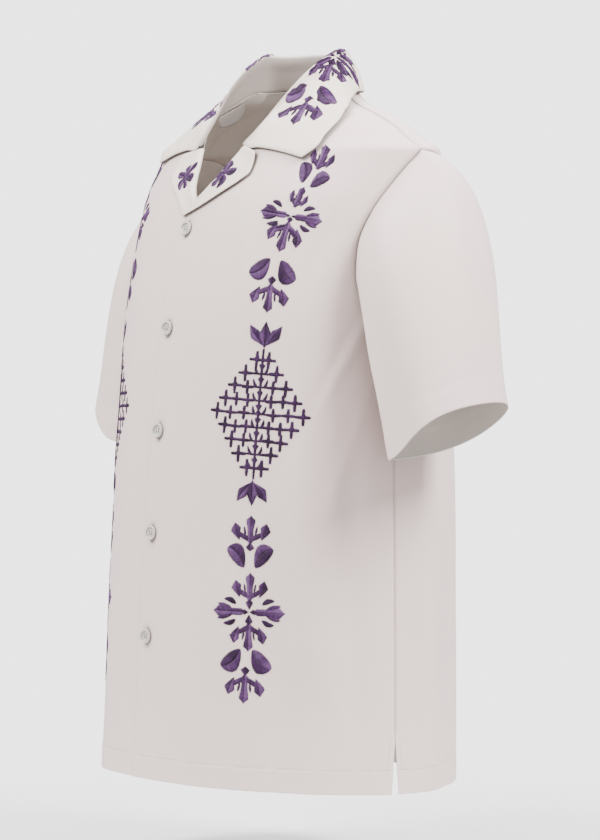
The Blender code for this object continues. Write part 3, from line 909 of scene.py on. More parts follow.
@dataclass
class BackPanel:
    """The back of the shirt in one piece, from one side seam to the other."""

    name: str = "back_cloth"
    columns: int = 150
    lower_rows: int = 92
    upper_rows: int = 84
    edge_crowd: float = 0.012
    edge_share: float = 0.05

    def places(self) -> tuple[Array, Array, Array]:
        """Angle, height, and height above the hem of each point.

        Returns:
            Three arrays, rows by columns.
        """
        low = row_heights(self.lower_rows)
        across = crowded(self.columns, self.edge_crowd, self.edge_share)
        start = 90.0 + side_shift(low)
        angle = start[:, None] + (360.0 - 2.0 * start)[:, None] * across
        height = np.broadcast_to(low[:, None], angle.shape)
        steps = upper_steps(self.upper_rows)
        share = 1.0 - np.abs(1.0 - 2.0 * across)
        upper_angle, upper_height = self.upper_place(share[None, :], steps[:, None])
        upper_angle = np.maximum(upper_angle, 90.0 + side_shift(np.array(UNDERARM_HEIGHT)))
        upper_angle = np.where(across <= 0.5, upper_angle, 360.0 - upper_angle)
        return (np.concatenate([angle, upper_angle]), np.concatenate([height, upper_height]),
                np.concatenate([height, upper_height]))

    @staticmethod
    def upper_place(share: Array, step: Array) -> tuple[Array, Array]:
        """Angle and height in the upper left half.

        Args:
            share: 0 at the armhole, 1 mid-back.
            step: 0 at the underarm level, ARMHOLE_STEPS along the shoulder and neck seams.

        Returns:
            Angles and heights.
        """
        v = step / ARMHOLE_STEPS
        hole_angle, hole_height = armhole_place(step, True)
        nape = RINGS[-1].height
        middle_height = UNDERARM_HEIGHT + (nape - UNDERARM_HEIGHT) * v
        beyond = np.maximum(share - BACK_SHOULDER_SHARE, 0.0) / (1.0 - BACK_SHOULDER_SHARE)
        along_shoulder = np.minimum(share, BACK_SHOULDER_SHARE) / BACK_SHOULDER_SHARE
        climb_top = (NECK_HEIGHT - SHOULDER_HEIGHT) * along_shoulder + (nape - NECK_HEIGHT) * beyond
        climb_top = climb_top / (nape - SHOULDER_HEIGHT)
        late = v ** 3
        turn = share + late * (beyond - share)
        climb = share + late * (climb_top - share)
        return (hole_angle + (180.0 - hole_angle) * turn,
                hole_height + (middle_height - hole_height) * climb)

    def shell(self) -> Shell:
        """The panel's cloth with its hem and seams.

        Returns:
            The shell, ready to be built.
        """
        angle, height, above_hem = self.places()
        base = Form.base(angle, height)
        from_left = edge_distance(base, axis=1, from_end=False)
        from_right = edge_distance(base, axis=1, from_end=True)
        from_side = np.minimum(from_left, from_right)
        from_top = edge_distance(base, axis=0, from_end=True)
        lift = panel_lift(above_hem, self.upper_rows, from_side, from_top, from_left)
        return Shell(self.name, Form.cloth(angle, height, lift), Form.normal(angle, height),
                     CLOTH_THICKNESS)


Sag = namedtuple("Sag", "turn width depth")

# Shares of the sleeve's length at which rows of points carry its seam, and its hem's fold and stitching
SLEEVE_HEAD_ROWS = (0.004, 0.009, 0.015, 0.023, 0.034, 0.05)
SLEEVE_FOOT_ROWS = (0.86, 0.872, 0.88, 0.886, 0.892, 0.899, 0.91, 0.93, 0.955, 0.978, 0.993, 1)


@dataclass
class Sleeve:
    """A short set-in sleeve: one tube of cloth from the armhole to the cuff."""

    name: str
    side: int
    around: int = 136
    rows: int = 74
    hem_depth: float = 2.5
    seam_dip: float = 0.06
    seam_reach: float = 0.25
    tuck_under: float = -0.009
    sag: Sag = Sag(86.0, 36.0, 1.35)

    def cuff(self, turn: Array) -> Array:
        """A place on the left cuff's rim: turn 0 at the body, a quarter turn at the front.

        Args:
            turn: radians round the rim.

        Returns:
            Points in centimetres.
        """
        x, y, height = CUFF_CENTRE
        swell = 1.0 + CUFF_SQUARE * np.sin(2.0 * turn) ** 2
        inner, front = swell * np.cos(turn), swell * np.sin(turn)
        off = np.degrees(turn) - self.sag.turn
        sag = self.sag.depth * np.exp(-(off / self.sag.width) ** 2)
        return np.stack([x - CUFF_HALF_WIDTH * inner, y - CUFF_HALF_DEPTH * front,
                         height - CUFF_OUTER_RISE * inner - CUFF_BACK_RISE * front - sag], axis=-1)

    def middle(self) -> Array:
        """The middle of the left sleeve's wall, rows from the armhole to the cuff.

        Returns:
            Rows by columns of points.
        """
        step = np.arange(self.around) * 2.0 * ARMHOLE_STEPS / self.around
        on_back = step > ARMHOLE_STEPS
        angle, height = armhole_place(np.where(on_back, 2 * ARMHOLE_STEPS - step, step), on_back)
        seam = mirrored(Form.base(self.side * angle, height), self.side)
        normal = mirrored(Form.normal(self.side * angle, height), self.side)
        turn = np.pi * step / ARMHOLE_STEPS
        top = 0.5 - 0.5 * np.cos(turn)
        leave = unit(np.stack([np.ones_like(turn), -CAP_FLARE * np.sin(turn),
                               -CAP_DROP - CAP_DROP_TOP * top], axis=-1))
        ease = SEAM_EASE + 0.5 * WALL * np.abs(np.sum(leave * normal, axis=-1))
        start = seam + leave * ease[:, None]
        end = self.cuff(turn)
        length = np.linalg.norm(end - start, axis=-1)[:, None]
        pull = leave * length * (CAP_PULL + CAP_PULL_TOP * top)[:, None]
        arrive = unit(np.array(SLEEVE_LEAN)) * length * CUFF_PULL
        t = self.shares()[:, None, None]
        return smooth_between(start, end, pull, arrive, t)

    def shares(self) -> Array:
        """Row places from the armhole, 0, to the cuff, 1, crowded at the seam and the stitching.

        Returns:
            Rising numbers, the first of them just inside the armhole.
        """
        plain_rows = self.rows - 1 - len(SLEEVE_HEAD_ROWS) - len(SLEEVE_FOOT_ROWS)
        return np.concatenate([[self.tuck_under], SLEEVE_HEAD_ROWS,
                               np.linspace(0.065, 0.85, plain_rows), SLEEVE_FOOT_ROWS])

    def relief(self, middle: Array) -> Array:
        """Push out of the wall: armhole seam, creases, hem and underarm seam.

        Args:
            middle: the middle of the wall.

        Returns:
            The push out of the wall at each point.
        """
        turn = np.arange(self.around) * 360.0 / self.around
        share = self.shares()[:, None]
        total = seam_relief(edge_distance(middle, axis=0, from_end=False))
        for crease in SLEEVE_CREASES:
            above = share - crease.height
            off = np.mod(turn - crease.angle - crease.slope * above + 180.0, 360.0)
            along = above / crease.length
            across = (off - 180.0) / crease.width
            total = total + crease.depth * np.exp(-across * across - along * along)
        ring = np.linalg.norm(np.roll(middle, -1, axis=1) - middle, axis=-1)
        around = np.cumsum(ring, axis=1)
        total += stitched_hem_relief(edge_distance(middle, axis=0, from_end=True), self.hem_depth,
                                     around)
        under = np.minimum(around, around[:, -1:] - around)
        return total - self.seam_dip * np.exp(-(under / self.seam_reach) ** 2)

    def shell(self) -> Shell:
        """The sleeve's cloth.

        Returns:
            The shell, ready to be built.
        """
        middle = self.middle()
        normals = grid_normals(middle, closed=True)
        centre = middle.mean(axis=1, keepdims=True)
        if np.sum(normals * (middle - centre)) < 0.0:
            normals = -normals
        outer = middle + normals * (0.5 * WALL + self.relief(middle))[..., None]
        return Shell(self.name, mirrored(outer, self.side), mirrored(normals, self.side),
                     CLOTH_THICKNESS, closed=True)


@dataclass
class Collar:
    """The collar: a stand that rises from the neck seam and a fall folded over it."""

    name: str = "collar_cloth"
    stations_each: int = 6
    columns_each: int = 72
    # The row of the fold up to which the stand's inside gets painted shade, and how many rows it fades
    # over.
    stand_rows: float = 22.0
    shade_fade: float = 7.0
    across: int = 46
    thickness: float = 0.12
    edge_swell: float = 0.03
    edge_inset: float = 0.45
    crowd: float = 0.7

    def neck_seam(self, station: Array) -> tuple[Array, Array]:
        """Angle and height on the left half of the neck seam.

        Args:
            station: places along the seam, 0 at the notch.

        Returns:
            Angles and heights.
        """
        shoulder = ARMHOLE_STEPS - NOTCH_STEP
        x, front_height = front_edge(np.minimum(NOTCH_STEP + station, ARMHOLE_STEPS))
        front_angle = np.where(station >= shoulder, 90.0, Form.angle_at(x, front_height))
        share = BACK_SHOULDER_SHARE + np.maximum(station - shoulder, 0.0) * 2.0 / BACK_STATIONS
        top = np.full(station.shape, ARMHOLE_STEPS)
        back_angle, back_height = BackPanel.upper_place(share, top)
        behind = station > shoulder
        return (np.where(behind, back_angle, front_angle),
                np.where(behind, back_height, front_height))

    def paint_stand_shade(self, piece: bpy.types.Object) -> None:
        """Paint shade on the stand's inner face up to the fold, standing in for the shadow inside the
        neck.

        Args:
            piece: the built collar.
        """
        row = np.arange(self.across)
        share = 1.0 - smooth_step(self.stand_rows - self.shade_fade, self.stand_rows + 2.0, row)
        values = np.zeros(len(piece.data.vertices))
        columns = self.columns_each * 2 + 1
        values[:self.across * columns] = np.repeat(share, columns)
        keep_values(piece, "painted_stand_shade", values)

    def half(self) -> Array:
        """The left half's guide points, a row of them for each station.

        Returns:
            Stations by guide points, from the neck seam over the fold to the edge.
        """
        last = COLLAR[-1].station
        station = np.linspace(0.0, last, int(last) * self.stations_each + 1)
        fall = np.moveaxis(COLLAR_CURVE.at(station), -1, 0)
        angle, height = self.neck_seam(station)
        seam, normal = Form.base(angle, height), Form.normal(angle, height)
        fold = np.stack(fall[:3], axis=-1)
        edge = Form.base(fall[3], fall[4]) + Form.normal(fall[3], fall[4]) * fall[5][:, None]
        way = unit(fold - seam)
        ease = SEAM_EASE + 0.5 * WALL * np.abs(np.sum(way * normal, axis=-1))
        stand = seam + way * ease[:, None]
        out = unit((edge - fold) * np.array([1.0, 1.0, 0.0]))
        drop = np.minimum(FOLD_DROP_MOST, FOLD_DROP + FOLD_DROP_SHARE * (fold - stand)[:, 2])
        up = np.array([0.0, 0.0, 1.0])
        fall_start = fold + out * FOLD_WIDTH - up * drop[:, None]
        crest = fold + out * FOLD_WIDTH * CREST_SHARE + up * CREST_RISE
        points = [stand] + [stand + (fold - stand) * share for share in STAND_SHARES] + [crest]
        bulge_way = unit(out + up * BULGE_RISE)
        for t in FALL_SHARES:
            bulge = bulge_way * FALL_BULGE * 4.0 * t * (1.0 - t)
            points.append(self.raised_clear(fall_start + (edge - fall_start) * t + bulge))
        return np.stack(points, axis=1)

    @staticmethod
    def raised_clear(points: Array) -> Array:
        """The same points, moved out where they would lie too near the left front.

        Args:
            points: places of the fall.

        Returns:
            The cleared places.
        """
        angle = Form.angle_at(points[:, 0], points[:, 2])
        normal = Form.normal(angle, points[:, 2])
        depth = np.sum((points - Form.base(angle, points[:, 2])) * normal, axis=-1)
        short = np.where((points[:, 1] > RIDGE_Y) | (depth > FALL_CLEARANCE), 0.0,
                         FALL_CLEARANCE - depth)
        return points + normal * short[:, None]

    def shell(self) -> Shell:
        """The collar's cloth, its shown face being the stand's inside and the fall's outside.

        Returns:
            The shell, ready to be built.
        """
        half = self.half()
        guides = np.concatenate([half, mirrored(half[-2::-1], -1)])
        lines = np.stack([smooth_line(row, self.across, self.crowd) for row in guides], axis=1)
        normals = -grid_normals(lines)
        from_edge = edge_distance(lines, axis=0, from_end=True)
        from_left = edge_distance(lines, axis=1, from_end=False)
        from_right = edge_distance(lines, axis=1, from_end=True)
        near = np.minimum(from_edge, np.minimum(from_left, from_right))
        lift = 0.5 * self.thickness + edge_bead(near, self.edge_inset, self.edge_swell)
        return Shell(self.name, lines + normals * lift[..., None], normals, self.thickness)


@dataclass
class Lapel:
    """The turned-out top of a front facing, rolled over and laid on the front."""

    name: str
    side: int
    along: int = 72
    across: int = 44
    thickness: float = 0.10
    edge_swell: float = 0.03
    edge_inset: float = 0.4
    crowd: float = 0.35
    top_rise: float = 0.16
    top_start: float = 0.72

    def shell(self) -> Shell:
        """The lapel's cloth.

        Returns:
            The shell, ready to be built.
        """
        stations = list(LAPEL)
        if self.side < 0:
            stations = list(UNDER_LAPEL_START) + stations[len(UNDER_LAPEL_START):]
        table = Curve([(i, *row) for i, row in enumerate(stations)])
        rows = table.at(np.linspace(0.0, len(stations) - 1.0, self.along))
        roll, edge = rows[:, :2], rows[:, 2:]
        reach = np.linalg.norm(edge - roll, axis=-1, keepdims=True)
        way = (edge - roll) / reach
        top_share = smooth_step(self.top_start, 1.0, np.linspace(0.0, 1.0, self.along))
        guides = []
        for wrap in LAPEL_WRAP:
            place = roll + way * (wrap.inset + wrap.share * reach)
            angle = Form.angle_at(self.side * place[:, 0], place[:, 1])
            lift = wrap.lift - (tuck_depth(place[:, 0]) if self.side < 0 else 0.0)
            lift = lift + self.top_rise * top_share * wrap.share
            base = Form.base(angle, place[:, 1])
            guides.append(base + Form.normal(angle, place[:, 1]) * np.reshape(lift, (-1, 1)))
        guides = np.stack(guides, axis=1)
        lines = np.stack([smooth_line(row, self.across, self.crowd) for row in guides])
        normals = self.side * grid_normals(lines)
        from_edge = edge_distance(lines, axis=1, from_end=True)
        from_notch = edge_distance(lines, axis=0, from_end=True)
        near = np.minimum(from_edge, from_notch)
        lift = 0.5 * self.thickness + edge_bead(near, self.edge_inset, self.edge_swell)
        return Shell(self.name, lines + normals * lift[..., None], normals, self.thickness)


@dataclass
class NeckTab:
    """The small half-round tab that hangs inside the right front from the neck seam."""

    name: str = "neck_tab_cloth"
    low_end: tuple[float, float] = (6.6, 68.2)
    high_end: tuple[float, float] = (7.3, 69.8)
    depth: float = 1.4
    end_depth: float = 0.35
    lean: tuple[float, float, float] = (0.12, 0.0, -1.0)
    facing: tuple[float, float, float] = (1.0, 0.3, 0.0)
    lift: float = -0.26
    thickness: float = 0.08
    columns: int = 36
    rows: int = 14

    def shell(self) -> Shell:
        """The tab's cloth.

        Returns:
            The shell, ready to be built.
        """
        u = np.linspace(0.0, 1.0, self.columns)[:, None]
        place = np.array(self.low_end) * (1.0 - u) + np.array(self.high_end) * u
        angle = Form.angle_at(-place[:, 0], place[:, 1])
        lift = self.lift - tuck_depth(place[:, 0])
        top = Form.base(angle, place[:, 1]) + Form.normal(angle, place[:, 1]) * lift[:, None]
        depth = self.end_depth + (self.depth - self.end_depth) * np.sqrt(4.0 * (u - u * u))
        share = np.linspace(0.0, 1.0, self.rows)[:, None, None]
        lines = top + unit(np.array(self.lean)) * depth * share
        normals = grid_normals(lines)
        toward_neck = np.sum(normals * np.array(self.facing)) > 0.0
        normals = normals if toward_neck else -normals
        return Shell(self.name, lines + normals * 0.5 * self.thickness, normals, self.thickness)


class Profile(Enum):
    """How the width of a stitched shape runs from its start to its tip."""

    LEAF = "leaf"
    CLUB = "club"
    LOZENGE = "lozenge"
    BUD = "bud"
    BAR = "bar"

    def width(self, q: Array) -> Array:
        """Share of the full half-width at each place q, from 0 at the start to 1 at the tip.

        Args:
            q: places along the shape.

        Returns:
            Shares of the half-width.
        """
        if self is Profile.LEAF:
            return np.sin(np.pi * q ** 0.88) ** 0.60
        if self is Profile.CLUB:
            head = 0.64 + 0.36 * np.exp(-((q - 0.72) / 0.20) ** 2)
            return head * np.minimum(1.0, (1.0 - q) / 0.24) * np.minimum(1.0, 0.6 + q / 0.1)
        if self is Profile.LOZENGE:
            return 1.0 - np.abs(2.0 * q - 1.0) ** 1.15
        if self is Profile.BUD:
            broad = np.sqrt(np.clip(q / 0.34, 0.0, 1.0))
            return np.where(q < 0.34, broad, ((1.0 - q) / 0.66) ** 0.9)
        return 0.8 + 0.2 * np.minimum(1.0, np.minimum(q, 1.0 - q) / 0.2)


class Stroke(NamedTuple):
    """One stitched shape in a motif's own plane, in centimetres, x to the right and y up."""

    profile: Profile
    x0: float
    y0: float
    x1: float
    y1: float
    half_width: float
    bend: float = 0.0
    tone: float = 0.4

    def flipped(self) -> "Stroke":
        """The same shape on the other side of the motif's middle line."""
        return self._replace(x0=-self.x0, x1=-self.x1, bend=-self.bend)


def both_sides(strokes: Sequence[Stroke]) -> list[Stroke]:
    """The strokes and their mirror images across the motif's middle line."""
    return list(strokes) + [stroke.flipped() for stroke in strokes]


def turned(strokes: Sequence[Stroke], degrees: float, x: float = 0.0,
           y: float = 0.0) -> list[Stroke]:
    """Strokes turned about the motif's centre and moved.

    Args:
        strokes: shapes to place.
        degrees: turn towards the wearer's right, seen from outside.
        x: shift to the right.
        y: shift up.

    Returns:
        The placed shapes.
    """
    turn = math.radians(degrees)
    c, s = math.cos(turn), math.sin(turn)
    return [stroke._replace(x0=c * stroke.x0 - s * stroke.y0 + x,
                            y0=s * stroke.x0 + c * stroke.y0 + y,
                            x1=c * stroke.x1 - s * stroke.y1 + x,
                            y1=s * stroke.x1 + c * stroke.y1 + y)
            for stroke in strokes]


def spray(length: float, spread: float, bud: float = 0.0) -> list[Stroke]:
    """An upright spray: a club-headed stem, a barbed arm each side and a bud at its foot.

    Args:
        length: from the foot of the stem to its tip.
        spread: reach of each arm from the stem.
        bud: length of the bud below the foot, 0 for none.

    Returns:
        The spray's shapes, its foot at the centre.
    """
    stem = Stroke(Profile.CLUB, 0.0, 0.0, 0.0, length, 0.20 * length, tone=0.55)
    arm = Stroke(Profile.BAR, 0.04, 0.14 * length, 0.80 * spread, 0.36 * length, 0.11 * length,
                 tone=0.35)
    head = Stroke(Profile.LOZENGE, 0.66 * spread, 0.12 * length, 0.98 * spread, 0.72 * length,
                  0.37 * spread, bend=0.06 * spread, tone=0.42)
    barb = Stroke(Profile.LEAF, 0.30 * spread, 0.30 * length, 0.40 * spread, 0.60 * length,
                  0.09 * spread, tone=0.20)
    shapes = [stem] + both_sides([arm, head, barb])
    if bud > 0.0:
        shapes.append(Stroke(Profile.BUD, 0.0, 0.10 * bud, 0.0, -bud, 0.74 * bud, tone=0.10))
    return shapes


def leaf_pair(length: float, half_width: float, open_degrees: float) -> list[Stroke]:
    """Two leaves that spring up and apart from the centre.

    Args:
        length: from root to tip.
        half_width: half of a leaf's width.
        open_degrees: how far each leaf leans from upright.

    Returns:
        The shapes, in the motif's plane.
    """
    reach = math.radians(open_degrees)
    root_x = 0.10 * length + 0.35 * half_width
    tip_x, tip_y = root_x + length * math.sin(reach), length * math.cos(reach)
    return both_sides([Stroke(Profile.LEAF, root_x, 0.0, tip_x, tip_y, half_width,
                              bend=-0.14 * length, tone=0.42)])


def tulip(height: float, spread: float) -> list[Stroke]:
    """A three-petalled tulip that stands on the centre.

    Args:
        height: from the foot to the middle petal's tip.
        spread: reach of each side petal.

    Returns:
        The shapes, in the motif's plane.
    """
    middle = Stroke(Profile.LOZENGE, 0.0, 0.10 * height, 0.0, height, 0.21 * height, tone=0.1)
    side = Stroke(Profile.LOZENGE, 0.0, 0.04 * height, 1.02 * spread, 0.84 * height, 0.25 * height,
                  bend=0.05 * height, tone=0.36)
    heart = Stroke(Profile.LOZENGE, 0.0, -0.05 * height, 0.0, 0.80 * height, 0.33 * height,
                   tone=0.3)
    return [heart] + both_sides([side]) + [middle]


def winged_arm(length: float, reach: float) -> list[Stroke]:
    """A broad arm with a barb on each side and a small loose leaf beyond each barb.

    Args:
        length: from the arm's foot to its tip.
        reach: how far the loose leaves lie from the arm.

    Returns:
        The shapes, in the motif's plane.
    """
    stem = Stroke(Profile.CLUB, 0.0, 0.0, 0.0, length, 0.17 * length, tone=0.60)
    barb = Stroke(Profile.LEAF, 0.04, 0.34 * length, 0.60 * reach, 0.84 * length, 0.27 * reach,
                  bend=0.08 * reach, tone=0.42)
    leaf = Stroke(Profile.LEAF, 0.66 * reach, 0.26 * length, reach, 0.64 * length, 0.27 * reach,
                  bend=0.12 * reach, tone=0.10)
    return [stem] + both_sides([barb, leaf])


def four_arms(across: float, up: float) -> list[Stroke]:
    """A cross of four arms about a small knot, the side arms the longer ones.

    Args:
        across: from the centre to a side arm's tip, about.
        up: from the centre to an upright arm's tip, about.

    Returns:
        The shapes, in the motif's plane.
    """
    side = winged_arm(0.86 * across, 0.30 * across)
    tall = spray(0.72 * up, 0.42 * up)
    knot = Stroke(Profile.LOZENGE, 0.0, 0.06 * up, 0.0, 0.32 * up, 0.125 * up, tone=0.1)
    nub = Stroke(Profile.LOZENGE, 0.0, 0.01 * across, 0.0, 0.24 * across, 0.08 * across, tone=0.1)
    shapes = turned(side, -90.0, x=0.14 * across) + turned(side, 90.0, x=-0.14 * across)
    shapes += turned(tall, 0.0, y=0.28 * up) + turned(tall, 180.0, y=-0.28 * up)
    for degrees in (0.0, 180.0):
        shapes += turned([knot], degrees)
    for degrees in (90.0, -90.0):
        shapes += turned([nub], degrees)
    return shapes


def crosslet(size: float) -> list[Stroke]:
    """A small cross with a thick upright and pointed ends.

    Args:
        size: from the centre to each end.

    Returns:
        The shapes, in the motif's plane.
    """
    return [Stroke(Profile.BAR, -size, 0.0, size, 0.0, 0.19, tone=0.10),
            Stroke(Profile.BAR, 0.0, -size, 0.0, size, 0.22, tone=0.05),
            Stroke(Profile.LOZENGE, 0.0, -0.5 * size, 0.0, 0.5 * size, 0.42 * size, tone=0.0)]


def lattice(half_width: float, half_height: float, rows_each: int) -> list[Stroke]:
    """A diamond of rows of small crosses strung on thin bars, with a knotted middle stem.

    Args:
        half_width: from the middle to a side point.
        half_height: from the middle to the top or bottom.
        rows_each: rows above the widest one, and as many below.

    Returns:
        The lattice's shapes.
    """
    pitch = half_height / (rows_each + 0.85)
    bead_pitch = half_width / (rows_each - 0.6)
    shapes = [Stroke(Profile.BAR, 0.0, sign * 0.1, 0.0, sign * half_height, 0.19, tone=0.10)
              for sign in (1.0, -1.0)]
    for row in range(-rows_each, rows_each + 1):
        y = row * pitch
        reach = half_width * (1.0 - abs(row) / (rows_each + 1.15))
        count = max(1, round(reach / bead_pitch))
        for sign in (1.0, -1.0):
            stray = 0.12 * math.sin(5.1 * row + 2.3 * sign)
            far = sign * (reach - 0.45 + stray)
            inner = sign * (0.16 if row else 0.50)
            shapes.append(Stroke(Profile.BAR, inner, y, far, y + 0.3 * stray, 0.14, tone=0.05))
            shapes.append(Stroke(Profile.LEAF, sign * 0.25, y - 0.1, sign * (0.75 + stray),
                                 y + 0.62 * pitch, 0.20, bend=0.15 * sign, tone=0.1))
            for bead in range(1, count + 1):
                size = 0.84 if bead == count else 0.68
                lift = 0.5 * stray * math.cos(2.7 * bead)
                shapes += turned(crosslet(size), 12.0 * stray, x=far * bead / count, y=y + lift)
        if row != 0:
            middle = y - 0.5 * pitch * (1.0 if row > 0 else -1.0)
            shapes.append(Stroke(Profile.LOZENGE, 0.0, middle - 0.40, 0.0, middle + 0.40, 0.42,
                                 tone=0.1))
    return shapes + [Stroke(Profile.LOZENGE, 0.0, -0.45, 0.0, 0.45, 0.36, tone=0.15)]


def bow_flower(length: float) -> list[Stroke]:
    """Two three-petalled flowers, foot to foot.

    Args:
        length: of each flower.

    Returns:
        The shapes, in the motif's plane.
    """
    petal = Stroke(Profile.CLUB, 0.0, 0.02, 0.0, length, 0.30 * length, tone=0.5)
    side = Stroke(Profile.LEAF, 0.05, 0.06 * length, 0.80 * length, 0.80 * length, 0.33 * length,
                  bend=0.12 * length, tone=0.35)
    half = [petal] + both_sides([side])
    return half + turned(half, 180.0) + [
        Stroke(Profile.LOZENGE, -0.20 * length, 0.0, 0.20 * length, 0.0, 0.16 * length, tone=0.1)]


class Surface(NamedTuple):
    """A curved piece of cloth that can be embroidered, read by two running numbers."""

    point: Callable[[Array, Array], Array]
    normal: Callable[[Array, Array], Array]


def front_surface() -> Surface:
    """The outer face of the fronts, by angle and height."""
    return Surface(lambda u, v: Form.cloth(u, v, 0.5 * WALL), Form.normal)


def shell_surface(shell: Shell) -> Surface:
    """The outer face of a shell, by column and row.

    Args:
        shell: the built grid.

    Returns:
        Its surface, with places between the grid's points blended.
    """
    def blended(grid: Array, u: Array, v: Array) -> Array:
        """A grid's values between its points.

        Args:
            grid: rows by columns of vectors.
            u: columns.
            v: rows.

        Returns:
            The blended vectors.
        """
        u = np.clip(u, 0.0, grid.shape[1] - 1.001)
        v = np.clip(v, 0.0, grid.shape[0] - 1.001)
        i, j = np.floor(v).astype(int), np.floor(u).astype(int)
        s, t = (u - j)[..., None], (v - i)[..., None]
        return ((grid[i, j] * (1 - s) + grid[i, j + 1] * s) * (1 - t)
                + (grid[i + 1, j] * (1 - s) + grid[i + 1, j + 1] * s) * t)
    return Surface(lambda u, v: blended(shell.outer, u, v),
                   lambda u, v: unit(blended(shell.normals, u, v)))


class Patch:
    """A flat motif plane laid on a surface at one place, with a direction for its up."""

    def __init__(self, surface: Surface, u: float, v: float, up: Sequence[float],
                 step: tuple[float, float] = (0.5, 0.2)) -> None:
        """Work out how the motif's plane maps to the surface's running numbers.

        Args:
            surface: what it lies on.
            u: first running number of the motif's centre.
            v: second running number there.
            up: a rough direction of the motif's up, in the garment's space.
            step: how far apart the running numbers are sampled for the slopes.
        """
        self.surface = surface
        self.centre = np.array([u, v])
        at = np.array([u]), np.array([v])
        normal = surface.normal(*at)[0]
        du = (surface.point(at[0] + step[0], at[1]) - surface.point(at[0] - step[0], at[1]))[0]
        dv = (surface.point(at[0], at[1] + step[1]) - surface.point(at[0], at[1] - step[1]))[0]
        slopes = np.stack([du / (2.0 * step[0]), dv / (2.0 * step[1])], axis=1)
        up_way = unit(np.array(up, float) - normal * np.dot(up, normal))
        right = np.cross(up_way, normal)
        self.to_running = np.linalg.pinv(slopes) @ np.stack([right, up_way], axis=1)

    def lay(self, x: Array, y: Array, lift: Array) -> tuple[Array, Array]:
        """Points and outward directions of motif places raised off the cloth.

        Args:
            x: to the right of the motif's centre.
            y: up from it.
            lift: off the cloth.

        Returns:
            Points and unit vectors.
        """
        place = np.stack([x, y], axis=-1) @ self.to_running.T + self.centre
        normal = self.surface.normal(place[..., 0], place[..., 1])
        return self.surface.point(place[..., 0], place[..., 1]) + normal * lift[..., None], normal


@dataclass
class Threads:
    """Many short raised threads joined in one mesh, each a spindle with pointed ends."""

    name: str
    points: list[Array] = field(default_factory=list)
    faces: list[Array] = field(default_factory=list)
    shades: list[Array] = field(default_factory=list)
    total: int = 0
    # Painted shade and light: each thread's ends are darkened where it dives into the cloth, and its
    # middle lightened along the crown.
    painted_end_shade: float = -0.35

    def add(self, centres: Array, normals: Array, half_width: float, height: float,
            shade: Array) -> None:
        """Add threads along lines of points.

        Args:
            centres: threads by points along each, by 3.
            normals: outward direction at each point.
            half_width: half of a thread's width.
            height: how far its crown stands over its sides.
            shade: one number for each thread, 0 dark to 1 light.
        """
        count, steps = centres.shape[:2]
        along = np.gradient(centres, axis=1)
        across = unit(np.cross(along, normals)) * half_width
        rings = np.stack([centres - across, centres + normals * height, centres + across], axis=2)
        middle = rings[:, 1:-1].reshape(count, -1, 3)
        self.points.append(np.concatenate([centres[:, :1], middle, centres[:, -1:]],
                                          axis=1).reshape(-1, 3))
        size = 3 * (steps - 2) + 2
        base = self.total + size * np.arange(count)[:, None, None]
        pattern = []
        for k in range(3):
            n = (k + 1) % 3
            pattern.append((0, 1 + k, 1 + n, -1))
            for ring in range(steps - 3):
                low, high = 1 + 3 * ring, 4 + 3 * ring
                pattern.append((low + k, high + k, high + n, low + n))
            last = size - 1
            pattern.append((last, last - 3 + n, last - 3 + k, -1))
        pattern = np.array(pattern)
        faces = np.where(pattern < 0, -1, pattern)[None] + base * (pattern >= 0)[None]
        self.faces.append(faces.reshape(-1, 4))
        # Painted shade at the thread's ends and painted light along its crown.
        between_ends = np.linspace(-1.0, 1.0, steps)[1:-1]
        ends = np.concatenate([[1.0], np.repeat(between_ends ** 2, 3), [1.0]])
        shades = np.reshape(shade, (-1, 1)) + self.painted_end_shade * (ends - 0.4)
        self.shades.append(np.broadcast_to(shades, (count, size)).reshape(-1))
        self.total += size * count

    def build(self, materials: Sequence[bpy.types.Material], slot: str) -> bpy.types.Object:
        """Make the piece and keep each point's shade as an attribute.

        Args:
            materials: the thread's material.
            slot: not used.

        Returns:
            The new object.
        """
        faces = [face if face[3] >= 0 else face[:3]
                 for face in np.concatenate(self.faces).tolist()]
        piece = make_piece(self.name, np.concatenate(self.points), faces, materials)
        keep_values(piece, "shade", np.concatenate(self.shades))
        return piece


